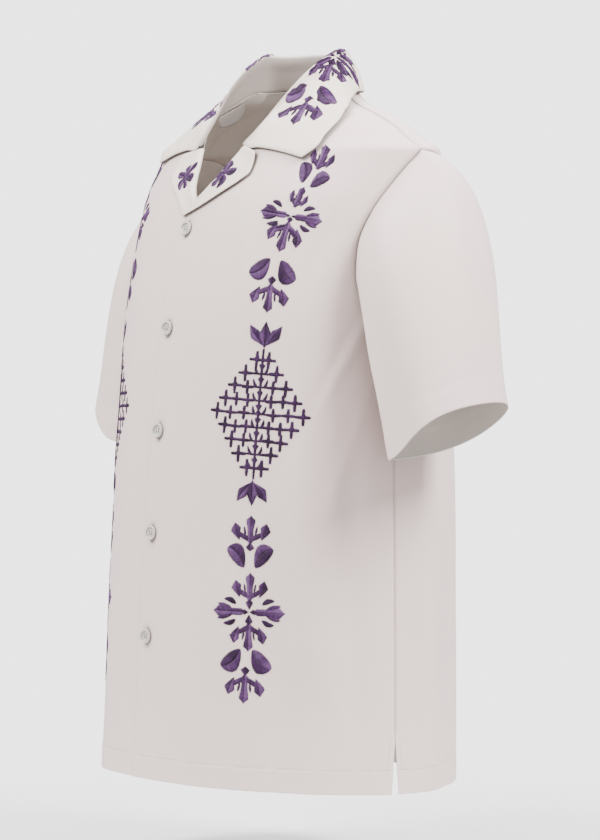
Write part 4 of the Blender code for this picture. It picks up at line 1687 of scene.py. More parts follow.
@dataclass(frozen=True)
class SatinStitch:
    """How a shape is filled with satin stitch."""

    pitch: float = 0.047
    half_width: float = 0.030
    crown: float = 0.022
    rise: float = 0.050
    sink: float = 0.008
    slant: float = 0.45
    split_over: float = 0.34
    split_overlap: float = 0.16
    dark_half: float = -0.20
    light_half: float = 0.16
    least_half_width: float = 0.022
    steps: int = 5
    wander: float = 0.026
    unlevel: float = 0.002
    tone_spread: float = 0.10
    tone_wave: float = 0.12

    def fill(self, threads: Threads, patch: Patch, strokes: Sequence[Stroke],
             draw: np.random.Generator) -> None:
        """Fill shapes with threads on a patch.

        Args:
            threads: where the threads go.
            patch: the plane the shapes lie in.
            strokes: the shapes.
            draw: the seeded source of the hand's unevenness.
        """
        past = self.split_overlap
        for stroke in strokes:
            if stroke.half_width > self.split_over:
                self._row(threads, patch, stroke, (-past, 1.0), stroke.tone + self.dark_half, draw)
                self._row(threads, patch, stroke, (past, -1.0), stroke.tone + self.light_half, draw)
            else:
                self._row(threads, patch, stroke, (-1.0, 1.0), stroke.tone, draw)

    def _row(self, threads: Threads, patch: Patch, stroke: Stroke, span: tuple[float, float],
             tone: float, draw: np.random.Generator) -> None:
        """One row of side-by-side threads across a shape, between two shares of its half-width.

        Args:
            threads: where the threads go.
            patch: the plane the shape lies in.
            stroke: the shape.
            span: the two shares that the threads run between.
            tone: the row's shade.
            draw: the seeded source of unevenness.
        """
        start, end = np.array([stroke.x0, stroke.y0]), np.array([stroke.x1, stroke.y1])
        length = float(np.linalg.norm(end - start))
        way = (end - start) / length
        cross = np.array([way[1], -way[0]])
        count = max(3, int(length / self.pitch))
        q = (np.arange(count) + 0.5) / count
        width = np.maximum(stroke.half_width * stroke.profile.width(q), self.least_half_width)
        bow = 4.0 * q * (1.0 - q) * stroke.bend
        spine = start + way * (q * length)[:, None] + cross * bow[:, None]
        t = np.linspace(0.0, 1.0, self.steps)
        reach = span[0] + (span[1] - span[0]) * t
        uneven = 1.0 + draw.normal(0.0, 1.0, (count, 1)) * self.wander / stroke.half_width
        out = reach[None, :] * width[:, None] * np.clip(uneven, 0.80, 1.20)
        halved = abs(span[0]) < 0.5
        slant = self.slant if halved else 0.25 * self.slant
        forward = (np.abs(out) if halved else out) * slant
        flat = spine[:, None] + cross * out[..., None] + way * forward[..., None]
        thread_length = width * abs(span[1] - span[0])
        rise = np.minimum(self.rise, 0.35 * thread_length)
        lift = rise[:, None] * (4.0 * t * (1.0 - t))[None, :] ** 0.6 - self.sink
        lift = lift + draw.normal(0.0, self.unlevel, (count, 1))
        points, normals = patch.lay(flat[..., 0], flat[..., 1], lift)
        wave = self.tone_wave * np.sin(5.0 * q + stroke.x1)
        shade = tone + draw.normal(0.0, self.tone_spread, count) + wave
        threads.add(points, normals, self.half_width, self.crown, np.clip(shade, 0.0, 1.0))


Value = bpy.types.NodeSocket | float | tuple


class Nodes:
    """Short ways to place and join shader nodes in one tree."""

    def __init__(self, tree: bpy.types.NodeTree) -> None:
        """Start on a tree.

        Args:
            tree: a material's or a group's node tree.
        """
        self.tree = tree

    def add(self, kind: str, inputs: dict | None = None, **settings: object) -> bpy.types.Node:
        """Place a node.

        Args:
            kind: the node's type.
            inputs: values or sockets for its inputs.
            settings: its own properties.

        Returns:
            The node.
        """
        node = self.tree.nodes.new(kind)
        for name, value in settings.items():
            setattr(node, name, value)
        self.fill(node, inputs or {})
        return node

    def fill(self, node: bpy.types.Node, inputs: dict) -> None:
        """Give a node's inputs their values, or join sockets to them.

        Args:
            node: the node.
            inputs: values or sockets by input name or number.
        """
        for key, value in inputs.items():
            if isinstance(value, bpy.types.NodeSocket):
                self.tree.links.new(value, node.inputs[key])
            else:
                node.inputs[key].default_value = value

    def maths(self, operation: str, a: Value, b: Value = 0.0,
              c: Value = 0.0) -> bpy.types.NodeSocket:
        """The result of a sum done by a Math node."""
        return self.add("ShaderNodeMath", {0: a, 1: b, 2: c}, operation=operation).outputs[0]

    def blend(self, share: Value, a: Value, b: Value) -> bpy.types.NodeSocket:
        """A colour between two colours."""
        return self.add("ShaderNodeMix", {0: share, 6: a, 7: b}, data_type="RGBA").outputs[2]

    def between(self, value: Value, low: float, high: float) -> bpy.types.NodeSocket:
        """A value from 0 to 1 mapped to a range."""
        return self.add("ShaderNodeMapRange", {0: value, 3: low, 4: high}).outputs[0]

    def noise(self, place: Value, scale: float, detail: float) -> bpy.types.NodeSocket:
        """Noise from 0 to 1 at a place."""
        return self.add("ShaderNodeTexNoise", {"Vector": place, "Scale": scale,
                                               "Detail": detail}).outputs[0]

    def bump(self, height: Value, strength: float, rise: float,
             **under: Value) -> bpy.types.NodeSocket:
        """A normal that follows a height, over another normal where one is given."""
        return self.add("ShaderNodeBump", {"Strength": strength, "Distance": rise,
                                           "Height": height, **under}).outputs[0]

    def painted_hollow_shade(self, reach: float, open_share: float, tone: Value,
                 hollow_shade: Value) -> bpy.types.NodeSocket:
        """A tone that turns towards a shade colour where other surfaces lie within reach: painted shade
        in hollows, creases and corners.
        """
        near = self.add("ShaderNodeAmbientOcclusion", {"Distance": reach}, samples=8).outputs["AO"]
        return self.blend(self.between(near, open_share, 0.0), tone, hollow_shade)


def node_group(name: str, inputs: dict[str, float], outputs: Sequence[str]
               ) -> tuple[bpy.types.NodeTree, Nodes, bpy.types.Node, bpy.types.Node]:
    """An empty shader node group with named number sockets.

    Args:
        name: the group's name.
        inputs: input names with their usual values.
        outputs: output names.

    Returns:
        The group, its node helper, its input node and its output node.
    """
    tree = bpy.data.node_groups.new(name, "ShaderNodeTree")
    for key, value in inputs.items():
        socket = tree.interface.new_socket(name=key, in_out="INPUT", socket_type="NodeSocketFloat")
        socket.default_value = value
    for key in outputs:
        tree.interface.new_socket(name=key, in_out="OUTPUT", socket_type="NodeSocketFloat")
    nodes = Nodes(tree)
    return tree, nodes, nodes.add("NodeGroupInput"), nodes.add("NodeGroupOutput")


def weave_group() -> bpy.types.NodeTree:
    """A fine plain weave with slightly thick and thin yarns, as a height.

    Returns:
        The group.
    """
    tree, nodes, given, out = node_group("fine_weave", {"Yarns per metre": 2200.0, "Slub": 0.35},
                                         ["Height"])
    place = nodes.add("ShaderNodeTexCoord").outputs["Object"]
    axes = nodes.add("ShaderNodeSeparateXYZ", {0: place}).outputs
    wobble = nodes.noise(place, 60.0, 1.0)
    yarn_turn = nodes.maths("MULTIPLY", given.outputs[0], 2.0 * math.pi)
    around = nodes.maths("ADD", axes["X"], axes["Y"])
    waves = []
    for axis in (around, axes["Z"]):
        shifted = nodes.maths("MULTIPLY_ADD", wobble, 0.0006, axis)
        waves.append(nodes.maths("SINE", nodes.maths("MULTIPLY", shifted, yarn_turn)))
    plain = nodes.maths("MULTIPLY", waves[0], waves[1])
    slub = nodes.noise(place, 420.0, 2.0)
    flat = nodes.maths("MULTIPLY", plain, 0.5)
    height = nodes.maths("MULTIPLY_ADD", slub, given.outputs[1], flat)
    tree.links.new(height, out.inputs[0])
    return tree


def mottle_group() -> bpy.types.NodeTree:
    """Broad and middling soft unevenness, each from 0 to 1.

    Returns:
        The group.
    """
    tree, nodes, given, out = node_group("soft_mottle", {"Broad": 5.0, "Middling": 28.0},
                                         ["Broad", "Middling"])
    place = nodes.add("ShaderNodeTexCoord").outputs["Object"]
    for index, detail in ((0, 1.0), (1, 3.0)):
        noise = nodes.add("ShaderNodeTexNoise", {"Vector": place, "Scale": given.outputs[index],
                                                 "Detail": detail, "Roughness": 0.5})
        spread = nodes.add("ShaderNodeMapRange", {0: noise.outputs[0], 1: 0.35, 2: 0.65})
        tree.links.new(spread.outputs[0], out.inputs[index])
    return tree


Groups = namedtuple("Groups", "weave mottle")


def new_material(name: str) -> tuple[bpy.types.Material, Nodes, bpy.types.Node]:
    """An empty node material.

    Args:
        name: its name.

    Returns:
        The material, its node helper and its Principled shader.
    """
    material = bpy.data.materials.new(name)
    material.use_nodes = True
    return material, Nodes(material.node_tree), material.node_tree.nodes["Principled BSDF"]


Colour = tuple[float, float, float, float]


@dataclass(frozen=True)
class ClothFinish:
    """Smooth light cloth with a soft sheen and a barely uneven tone, with painted shade in its hollows
    and corners and on the collar stand's inside.
    """

    name: str
    warm: Colour
    cool: Colour
    # The inner colour is painted shade for the collar stand's inside, standing in for the shadow inside
    # the neck.
    inner: Colour = (0.30, 0.250, 0.222, 1.0)
    # The hollow colour is painted shade in hollows, creases and corners and under the lapels and
    # collar, drawn in where other surfaces lie near, over a wide and a short reach.
    hollow_shade: Colour = (0.36, 0.30, 0.275, 1.0)
    hollow_shade_reach: float = 0.055
    hollow_shade_depth: float = 0.9
    corner_shade_reach: float = 0.010
    corner_shade_gain: float = 1.5
    roughness: float = 0.58
    rough_spread: float = 0.04
    sheen: float = 0.18
    sheen_roughness: float = 0.45
    specular: float = 0.32
    weave_strength: float = 0.22
    weave_height: float = 0.00006
    rumple_strength: float = 0.10
    rumple_height: float = 0.0012

    def build(self, groups: Groups) -> bpy.types.Material:
        """Make the material.

        Args:
            groups: the shared node groups.

        Returns:
            The cloth.
        """
        material, nodes, shader = new_material(self.name)
        mottle = nodes.add("ShaderNodeGroup", node_tree=groups.mottle)
        weave = nodes.add("ShaderNodeGroup", node_tree=groups.weave)
        tone = nodes.blend(mottle.outputs[0], self.warm, self.cool)
        # Painted shade on the collar stand's inside, blended in by the attribute that the collar keeps.
        shaded = nodes.add("ShaderNodeAttribute", attribute_name="painted_stand_shade").outputs["Fac"]
        tone = nodes.blend(shaded, tone, self.inner)
        # Painted shade: the tone turns towards the hollow colour where other surfaces lie near, over a
        # wide reach and a short one.
        tone = nodes.painted_hollow_shade(self.hollow_shade_reach, self.hollow_shade_depth, tone, self.hollow_shade)
        tone = nodes.painted_hollow_shade(self.corner_shade_reach, self.corner_shade_gain * self.hollow_shade_depth, tone,
                              self.hollow_shade)
        yarn = nodes.maths("MULTIPLY_ADD", weave.outputs[0], 0.05, 0.97)
        yarn_colour = nodes.add("ShaderNodeCombineColor", {0: yarn, 1: yarn, 2: yarn}).outputs[0]
        colour = nodes.add("ShaderNodeMix", {0: 1.0, 6: tone, 7: yarn_colour}, data_type="RGBA",
                           blend_type="MULTIPLY").outputs[2]
        rumple = nodes.bump(mottle.outputs[1], self.rumple_strength, self.rumple_height)
        bump = nodes.bump(weave.outputs[0], self.weave_strength, self.weave_height, Normal=rumple)
        rough = nodes.between(mottle.outputs[1], self.roughness - self.rough_spread,
                              self.roughness + self.rough_spread)
        nodes.fill(shader, {"Base Color": colour, "Roughness": rough, "Normal": bump,
                            "Specular IOR Level": self.specular, "Sheen Weight": self.sheen,
                            "Sheen Roughness": self.sheen_roughness})
        return material


@dataclass(frozen=True)
class ThreadFinish:
    """Lustrous stitching thread, between a dark and a light tone by each thread's shade."""

    name: str
    dark: Colour
    middle: Colour
    light: Colour
    roughness: float = 0.52
    rough_spread: float = 0.06
    specular: float = 0.18
    sheen: float = 0.04
    strand_strength: float = 0.25
    strand_height: float = 0.00008

    def build(self, groups: Groups) -> bpy.types.Material:
        """Make the material.

        Args:
            groups: the shared node groups.

        Returns:
            The thread.
        """
        material, nodes, shader = new_material(self.name)
        shade = nodes.add("ShaderNodeAttribute", attribute_name="shade").outputs["Fac"]
        mottle = nodes.add("ShaderNodeGroup", {0: 70.0, 1: 160.0}, node_tree=groups.mottle)
        uneven = nodes.between(mottle.outputs[0], -0.12, 0.12)
        place = nodes.maths("ADD", shade, uneven)
        ramp = nodes.add("ShaderNodeValToRGB", {0: place})
        stops = ramp.color_ramp.elements
        stops[0].position, stops[0].color = 0.0, self.dark
        stops[1].position, stops[1].color = 1.0, self.light
        stops.new(0.45).color = self.middle
        weave = nodes.add("ShaderNodeGroup", {0: 5200.0}, node_tree=groups.weave)
        bump = nodes.bump(weave.outputs[0], self.strand_strength, self.strand_height)
        rough = nodes.between(mottle.outputs[1], self.roughness - self.rough_spread,
                              self.roughness + self.rough_spread)
        nodes.fill(shader, {"Base Color": ramp.outputs[0], "Normal": bump, "Roughness": rough,
                            "Specular IOR Level": self.specular, "Sheen Weight": self.sheen})
        return material


@dataclass(frozen=True)
class ButtonFinish:
    """Pearly moulded button with faint cloudy layers, darkened as painted shade most in its rim's
    groove and its holes.
    """

    name: str
    pale: Colour
    deep: Colour
    roughness: float = 0.19
    rough_spread: float = 0.13
    coat: float = 0.35
    coat_roughness: float = 0.12
    cloud_height: float = 0.0002
    # The groove colour is painted shade, drawn in where other parts of the button lie near: the rim's
    # groove and the holes.
    groove: Colour = (0.14, 0.12, 0.11, 1.0)
    groove_shade_reach: float = 0.0022
    groove_shade_gain: float = 1.6

    def build(self, groups: Groups) -> bpy.types.Material:
        """Make the material.

        Args:
            groups: the shared node groups.

        Returns:
            The button's material.
        """
        material, nodes, shader = new_material(self.name)
        mottle = nodes.add("ShaderNodeGroup", {0: 130.0, 1: 420.0}, node_tree=groups.mottle)
        layers = nodes.maths("MULTIPLY_ADD", mottle.outputs[1], 0.35,
                             nodes.maths("MULTIPLY", mottle.outputs[0], 0.65))
        # Painted shade: the tone turns towards the groove colour where other surfaces lie near.
        colour = nodes.painted_hollow_shade(self.groove_shade_reach, self.groove_shade_gain,
                                nodes.blend(layers, self.pale, self.deep), self.groove)
        rough = nodes.between(mottle.outputs[0], self.roughness, self.roughness + self.rough_spread)
        nodes.fill(shader, {"Base Color": colour, "Roughness": rough,
                            "Normal": nodes.bump(mottle.outputs[1], 0.06, self.cloud_height),
                            "Coat Weight": self.coat, "Coat Roughness": self.coat_roughness})
        return material


class Wardrobe:
    """Every finish of the shirt."""

    def __init__(self) -> None:
        """Build the node groups and the materials."""
        groups = Groups(weave_group(), mottle_group())
        self.cloth = ClothFinish("cream_cloth", (0.800, 0.655, 0.600, 1.0),
                                 (0.785, 0.615, 0.600, 1.0)).build(groups)
        # The inside is a slightly darker, less pink copy of the cloth: painted shade for the shirt's
        # inside.
        self.inside = ClothFinish("painted_shade_cream_cloth_inside", (0.720, 0.655, 0.600, 1.0),
                                  (0.700, 0.630, 0.580, 1.0), sheen=0.03,
                                  hollow_shade_depth=0.0).build(groups)
        # The neck tab is the same cream cloth; its near-black tone is painted shade for its place
        # inside the neck.
        self.tab = ClothFinish("painted_shade_cream_cloth_tab", (0.125, 0.105, 0.092, 1.0),
                               (0.118, 0.098, 0.088, 1.0), sheen=0.03).build(groups)
        self.collar = ClothFinish("cream_collar_cloth", (0.820, 0.725, 0.640, 1.0),
                                  (0.800, 0.700, 0.635, 1.0)).build(groups)
        self.purple = ThreadFinish("purple_thread", (0.019, 0.005, 0.025, 1.0),
                                   (0.056, 0.017, 0.074, 1.0),
                                   (0.165, 0.078, 0.205, 1.0)).build(groups)
        self.sewing = ThreadFinish("cream_thread", (0.62, 0.57, 0.53, 1.0),
                                   (0.72, 0.67, 0.62, 1.0), (0.80, 0.75, 0.70, 1.0)).build(groups)
        self.button = ButtonFinish("pearly_button", (0.66, 0.61, 0.57, 1.0),
                                   (0.50, 0.46, 0.43, 1.0)).build(groups)


@dataclass(frozen=True)
class SewnLine:
    """A row of machine stitches along a line on the cloth."""

    stitch: float = 0.25
    gap: float = 0.06
    half_width: float = 0.022
    crown: float = 0.022
    steps: int = 4
    end_dip: float = 0.02
    tone: float = 0.45
    tone_spread: float = 0.08

    def sew(self, threads: Threads, points: Array, normals: Array, draw: np.random.Generator) -> None:
        """Lay stitches along a line.

        Args:
            threads: where they go.
            points: the line, just above the cloth.
            normals: outward directions along it.
            draw: the seeded source of small unevenness.
        """
        keys = np.concatenate([[0.0], np.cumsum(np.linalg.norm(np.diff(points, axis=0), axis=1))])
        count = max(1, int(keys[-1] / (self.stitch + self.gap)))
        first = np.arange(count) * keys[-1] / count + 0.5 * self.gap
        at = first[:, None] + self.stitch * np.linspace(0.0, 1.0, self.steps)
        centres = np.stack([np.interp(at, keys, points[:, k]) for k in range(3)], axis=-1)
        ways = unit(np.stack([np.interp(at, keys, normals[:, k]) for k in range(3)], axis=-1))
        dip = -self.end_dip * np.abs(np.linspace(-1.0, 1.0, self.steps)) ** 3
        centres = centres + ways * dip[:, None]
        threads.add(centres, ways, self.half_width, self.crown,
                    np.clip(self.tone + draw.normal(0.0, self.tone_spread, count), 0.0, 1.0))


@dataclass
class Sewing:
    """The stitch lines that show: the bottom hem and the vents."""

    draw: np.random.Generator
    line: SewnLine = SewnLine()
    vent_line: float = 0.55
    step: float = 0.5
    end_gap: float = 0.6
    last_angle: float = 355.0
    hem_lift: float = 0.008
    vent_lift: float = 0.018
    vent_steps: int = 16

    def hem(self, materials: Sequence[bpy.types.Material]) -> bpy.types.Object:
        """The bottom hem's stitches round both fronts and the back.

        Args:
            materials: the thread's material.

        Returns:
            The stitches, with the vents', as one piece.
        """
        threads = Threads("hem_stitching")
        side = float(side_shift(np.array(HEM_DEPTH))) + self.end_gap
        spans = [(float(Form.angle_at(-FRONT_LAP + 0.2, HEM_DEPTH)), 90.0 - side),
                 (90.0 + side, 270.0 - side), (270.0 + side, self.last_angle)]
        for first, last in spans:
            angle = np.arange(first, last, self.step)
            rise = HEM_RISE * np.maximum(0.0, np.cos(np.radians(angle)))
            height = HEM_DEPTH + rise * (1.0 - HEM_DEPTH / HEM_RISE_END)
            lift = 0.5 * WALL + self.hem_lift
            right_of_middle = np.where(angle > 270.0, -Form.base(angle, height)[:, 0], TUCK_END)
            tuck = np.where(angle > 270.0, tuck_depth(right_of_middle), 0.0)
            self.line.sew(threads, Form.cloth(angle, height, lift - tuck),
                          Form.normal(angle, height), self.draw)
        for sign in (1.0, -1.0):
            for middle in (90.0, 270.0):
                self.vent(threads, middle, sign)
        return threads.build(materials, "thread")

    def vent(self, threads: Threads, middle: float, sign: float) -> None:
        """One side of a vent: a line of stitches up its folded edge.

        Args:
            threads: where the stitches go.
            middle: the vent's angle.
            sign: 1 for the side beyond that angle, -1 for the side before it.
        """
        height = np.linspace(HEM_DEPTH, VENT_HEIGHT + 0.4, self.vent_steps)
        inset = math.degrees(self.vent_line / SIDE_DEPTH)
        angle = middle + sign * (side_shift(height) + inset)
        points = Form.cloth(angle, height, 0.5 * WALL + self.vent_lift)
        self.line.sew(threads, points, Form.normal(angle, height), self.draw)


@dataclass
class Button:
    """A round four-holed button with a raised rim, and the thread that holds it."""

    radius: float = 0.73
    thickness: float = 0.30
    tilt: float = 13.0
    shank: float = 0.10
    sides: int = 64
    hole_radius: float = 0.085
    hole_spread: float = 0.155
    hole_sides: int = 16
    hole_levels: tuple[float, float] = (0.30, 1.1)
    sharp_over: float = 38.0
    strand_gap: float = 0.035
    profile: tuple[tuple[float, float], ...] = (
        (0.0, 0.0), (0.80, 0.0), (0.90, 0.05), (0.97, 0.17), (1.0, 0.36), (0.995, 0.58),
        (0.975, 0.76), (0.94, 0.90), (0.90, 0.975), (0.86, 1.0), (0.81, 0.985), (0.76, 0.92),
        (0.72, 0.82), (0.69, 0.62), (0.65, 0.50), (0.60, 0.47), (0.45, 0.52), (0.0, 0.54))

    def frame(self, height: float) -> tuple[Array, Array]:
        """Place and axes of a button at a height: its seat, and right, up and out as rows.

        Args:
            height: centimetres up from the hem.

        Returns:
            The seat's place, and the axes.
        """
        out = Form.normal(np.array([0.0]), np.array([height]))[0]
        turn = math.radians(self.tilt)
        out = np.array([math.cos(turn) * out[0] + math.sin(turn), out[1] * math.cos(turn), out[2]])
        out = unit(out)
        up = unit(np.array([0.0, 0.0, 1.0]) - out * out[2])
        seat = Form.base(np.array([0.0]), np.array([height]))[0] + out * (0.5 * WALL + self.shank)
        return seat, np.stack([np.cross(up, out), up, out])

    def build(self, number: int, height: float, wardrobe: Wardrobe) -> list[bpy.types.Object]:
        """Make a button and its thread.

        Args:
            number: which button, from the top.
            height: its height above the hem.
            wardrobe: the finishes.

        Returns:
            The button and the thread.
        """
        seat, axes = self.frame(height)
        turn = np.arange(self.sides) * 2.0 * np.pi / self.sides
        points, faces, rings = [], [], []
        for radius, level in self.profile:
            ring_turn = turn[:1] if radius == 0.0 else turn
            ring = np.stack([radius * self.radius * np.cos(ring_turn),
                             radius * self.radius * np.sin(ring_turn),
                             np.full(len(ring_turn), level * self.thickness)], axis=-1)
            rings.append(list(range(len(points), len(points) + len(ring))))
            points += list(seat + ring @ axes)
        for below, above in zip(rings, rings[1:]):
            for i in range(self.sides):
                n = (i + 1) % self.sides
                corners = [below[i % len(below)], below[n % len(below)],
                           above[n % len(above)], above[i % len(above)]]
                faces.append(list(dict.fromkeys(corners)))
        body = make_piece(f"button_{number}_body", np.array(points), faces, [wardrobe.button],
                          [f"button_{number}"])
        self.drill(body, seat, axes)
        body.data.set_sharp_from_angle(angle=math.radians(self.sharp_over))
        return [body, self.thread(number, seat, axes, wardrobe)]

    def drill(self, body: bpy.types.Object, seat: Array, axes: Array) -> None:
        """Cut the four holes into the button's face.

        Args:
            body: the button.
            seat: its place.
            axes: its axes as rows.
        """
        sides = self.hole_sides
        turn = np.arange(sides) * 2.0 * np.pi / sides
        points, faces = [], []
        for x, y in ((1, 1), (-1, 1), (-1, -1), (1, -1)):
            start = len(points)
            for level in self.hole_levels:
                ring = np.stack([x * self.hole_spread + self.hole_radius * np.cos(turn),
                                 y * self.hole_spread + self.hole_radius * np.sin(turn),
                                 np.full(sides, level * self.thickness)], axis=-1)
                points += list(seat + ring @ axes)
            top = start + sides
            faces.append(list(range(top - 1, start - 1, -1)))
            faces.append(list(range(top, top + sides)))
            faces += [[start + i, start + (i + 1) % sides, top + (i + 1) % sides, top + i]
                      for i in range(sides)]
        mesh = bpy.data.meshes.new("drill")
        mesh.from_pydata(to_frame(np.array(points)).tolist(), [], faces)
        cutter = bpy.data.objects.new("drill", mesh)
        bpy.context.scene.collection.objects.link(cutter)
        cut = body.modifiers.new("holes", "BOOLEAN")
        cut.operation, cut.solver, cut.object = "DIFFERENCE", "EXACT", cutter
        bpy.context.view_layer.update()
        drilled = bpy.data.meshes.new_from_object(body.evaluated_get(
            bpy.context.evaluated_depsgraph_get()))
        body.modifiers.clear()
        body.data = drilled
        bpy.data.objects.remove(cutter, do_unlink=True)

    def thread(self, number: int, seat: Array, axes: Array, wardrobe: Wardrobe) -> bpy.types.Object:
        """Two bars of thread over the holes.

        Args:
            number: which button, from the top.
            seat: its place.
            axes: its axes as rows.
            wardrobe: the finishes.

        Returns:
            The thread.
        """
        threads = Threads(f"button_{number}_thread")
        t = np.linspace(-1.0, 1.0, 6)
        for x in (-1.0, 1.0):
            for strand in (-self.strand_gap, 0.0, self.strand_gap):
                level = (0.60 + 0.16 * (1.0 - t ** 4)) * self.thickness - 0.02
                line = np.stack([np.full(len(t), x * self.hole_spread + strand),
                                 t * self.hole_spread * 1.25, level], axis=-1)
                centres = (seat + line @ axes)[None]
                threads.add(centres, np.broadcast_to(axes[2], centres.shape), 0.024, 0.022,
                            np.array([0.5 + strand]))
        return threads.build([wardrobe.sewing], "thread")


@dataclass
class Buttonholes:
    """The worked buttonholes behind the buttons."""

    length: float = 1.75
    slit: float = 0.035
    bead: float = 0.13

    def build(self, heights: Sequence[float], materials: Sequence[bpy.types.Material],
              draw: np.random.Generator) -> bpy.types.Object:
        """Make all the buttonholes as one piece.

        Args:
            heights: the buttons' heights.
            materials: the thread's material.
            draw: the seeded source of small unevenness.

        Returns:
            The stitches.
        """
        threads = Threads("buttonholes")
        stitch = SatinStitch(pitch=0.05, rise=0.03, slant=0.0)
        for height in heights:
            patch = Patch(front_surface(), 0.0, height, (0.0, 0.0, 1.0))
            half, off = 0.5 * self.length, self.slit + 0.5 * self.bead
            side = Stroke(Profile.BAR, off, -half, off, half, 0.5 * self.bead, tone=0.5)
            bars = both_sides([side])
            bars += [Stroke(Profile.BAR, 0.0, sign * half, 0.0, sign * (half + self.bead),
                            off + 0.5 * self.bead, tone=0.45) for sign in (1.0, -1.0)]
            stitch.fill(threads, patch, bars, draw)
        return threads.build(materials, "thread")


# The band of motifs on the left front: shapes, then the place of their foot and a place above or
# below it that their up points to, each an angle and a height
Motif = namedtuple("Motif", "strokes angle height toward_angle toward_height")


def hanging(strokes: Sequence[Stroke]) -> list[Stroke]:
    """The strokes turned to hang down from their centre."""
    return turned(strokes, 180.0)


def band() -> list[Motif]:
    """The left front's motifs, from the shoulder to the hem.

    Returns:
        The motifs, each with its place.
    """
    arm = winged_arm(3.35, 1.15)
    side_arms = turned(arm, -90.0, x=0.45) + turned(arm, 90.0, x=-0.45)
    middle = both_sides([Stroke(Profile.LOZENGE, 0.02, 0.0, 0.75, 0.0, 0.20, tone=0.1)])
    return [
        Motif(spray(2.9, 1.25), 44.9, 62.2, 48.6, 64.9),
        Motif(leaf_pair(2.3, 0.85, 38.0), 43.3, 60.7, 45.6, 63.2),
        Motif(spray(2.3, 0.95), 41.6, 58.45, 43.1, 60.8),
        Motif(side_arms + middle, 41.3, 57.6, 41.3, 60.0),
        Motif(hanging(spray(3.2, 1.75, bud=0.55)), 41.2, 57.0, 42.4, 60.4),
        Motif(hanging(leaf_pair(2.7, 1.05, 48.0)), 39.6, 53.25, 39.7, 55.0),
        Motif(hanging(spray(2.95, 1.85, bud=0.78)), 39.7, 50.85, 39.6, 53.0),
        Motif(tulip(2.6, 1.8), 40.1, 44.55, 40.0, 47.1),
        Motif(lattice(5.45, 6.5, 4), 39.7, 37.9, 39.9, 44.4),
        Motif(hanging(tulip(2.5, 1.7)), 39.2, 31.25, 39.2, 33.0),
        Motif(spray(2.85, 1.85, bud=0.74), 39.3, 25.0, 39.2, 28.0),
        Motif(leaf_pair(2.7, 1.0, 44.0), 39.4, 22.65, 39.3, 25.0),
        Motif(four_arms(4.05, 3.95), 39.7, 18.2, 39.7, 22.0),
        Motif(hanging(leaf_pair(2.75, 1.05, 48.0)), 39.2, 14.45, 39.3, 16.0),
        Motif(hanging(spray(2.95, 1.8, bud=0.78)), 39.0, 12.0, 39.2, 14.0),
    ]


# Motifs on the collar and lapels: shapes, then column and row of the centre, and the place that
# their up points to
Placed = namedtuple("Placed", "strokes column row toward_column toward_row")

# The column of the collar's points at the middle of the back
COLLAR_MIDDLE = 72


def collar_motifs() -> list[Placed]:
    """The left half of the collar's motifs, from the back corner to the notch.

    Returns:
        The motifs, each with its place.
    """
    petal = [Stroke(Profile.LEAF, 0.30, 0.30, 1.55, 1.75, 0.50, tone=0.35)]
    rosette = [stroke for quarter in range(4) for stroke in turned(petal, 90.0 * quarter)]
    return [
        Placed(four_arms(3.6, 3.7) + rosette, 27.5, 30.0, 20.0, 31.5),
        Placed(leaf_pair(3.3, 1.25, 52.0), 19.4, 30.8, 12.0, 31.5),
        Placed(spray(3.5, 2.3, bud=0.95), 14.4, 31.5, 7.0, 32.3),
    ]


@dataclass
class Embroidery:
    """The purple motifs of the fronts, lapels and collar."""

    thread: bpy.types.Material
    draw: np.random.Generator
    stitch: SatinStitch = SatinStitch()

    def front(self, name: str, side: int) -> bpy.types.Object:
        """The band down one front.

        Args:
            name: the piece's name.
            side: 1 for the wearer's left, -1 for the right.

        Returns:
            The stitches as one piece.
        """
        threads = Threads(name)
        surface = front_surface()
        for motif in band():
            places = Form.cloth(np.array([side * motif.angle, side * motif.toward_angle]),
                                np.array([motif.height, motif.toward_height]), 0.5 * WALL)
            patch = Patch(surface, side * motif.angle, motif.height, places[1] - places[0])
            self.stitch.fill(threads, patch, motif.strokes, self.draw)
        return threads.build([self.thread], "embroidery")

    def on_shell(self, name: str, shell: Shell, motifs: Sequence[Placed]) -> bpy.types.Object:
        """Motifs on a collar or lapel.

        Args:
            name: the piece's name.
            shell: the cloth that they lie on.
            motifs: their shapes and places.

        Returns:
            The stitches as one piece.
        """
        threads = Threads(name)
        surface = shell_surface(shell)
        for motif in motifs:
            here, there = surface.point(np.array([motif.column, motif.toward_column], float),
                                        np.array([motif.row, motif.toward_row], float))
            patch = Patch(surface, motif.column, motif.row, there - here, step=(1.0, 1.0))
            self.stitch.fill(threads, patch, motif.strokes, self.draw)
        return threads.build([self.thread], "embroidery")


def away_from(azimuth: float, elevation: float) -> Vector:
    """The direction at an angle round from the front and up from level, in degrees."""
    a, e = math.radians(azimuth), math.radians(elevation)
    return Vector((math.sin(a) * math.cos(e), -math.cos(a) * math.cos(e), math.sin(e)))


# Soft lights: where round and up from the shirt in degrees, side length in metres, and watts
Light = namedtuple("Light", "name azimuth elevation size power")
LIGHTS = read_rows(Light, (
    ("key", -12, 50, 1.3, 150),
    ("side", 108, 42, 0.9, 150),
    ("back", 215, 50, 1.8, 60),
))


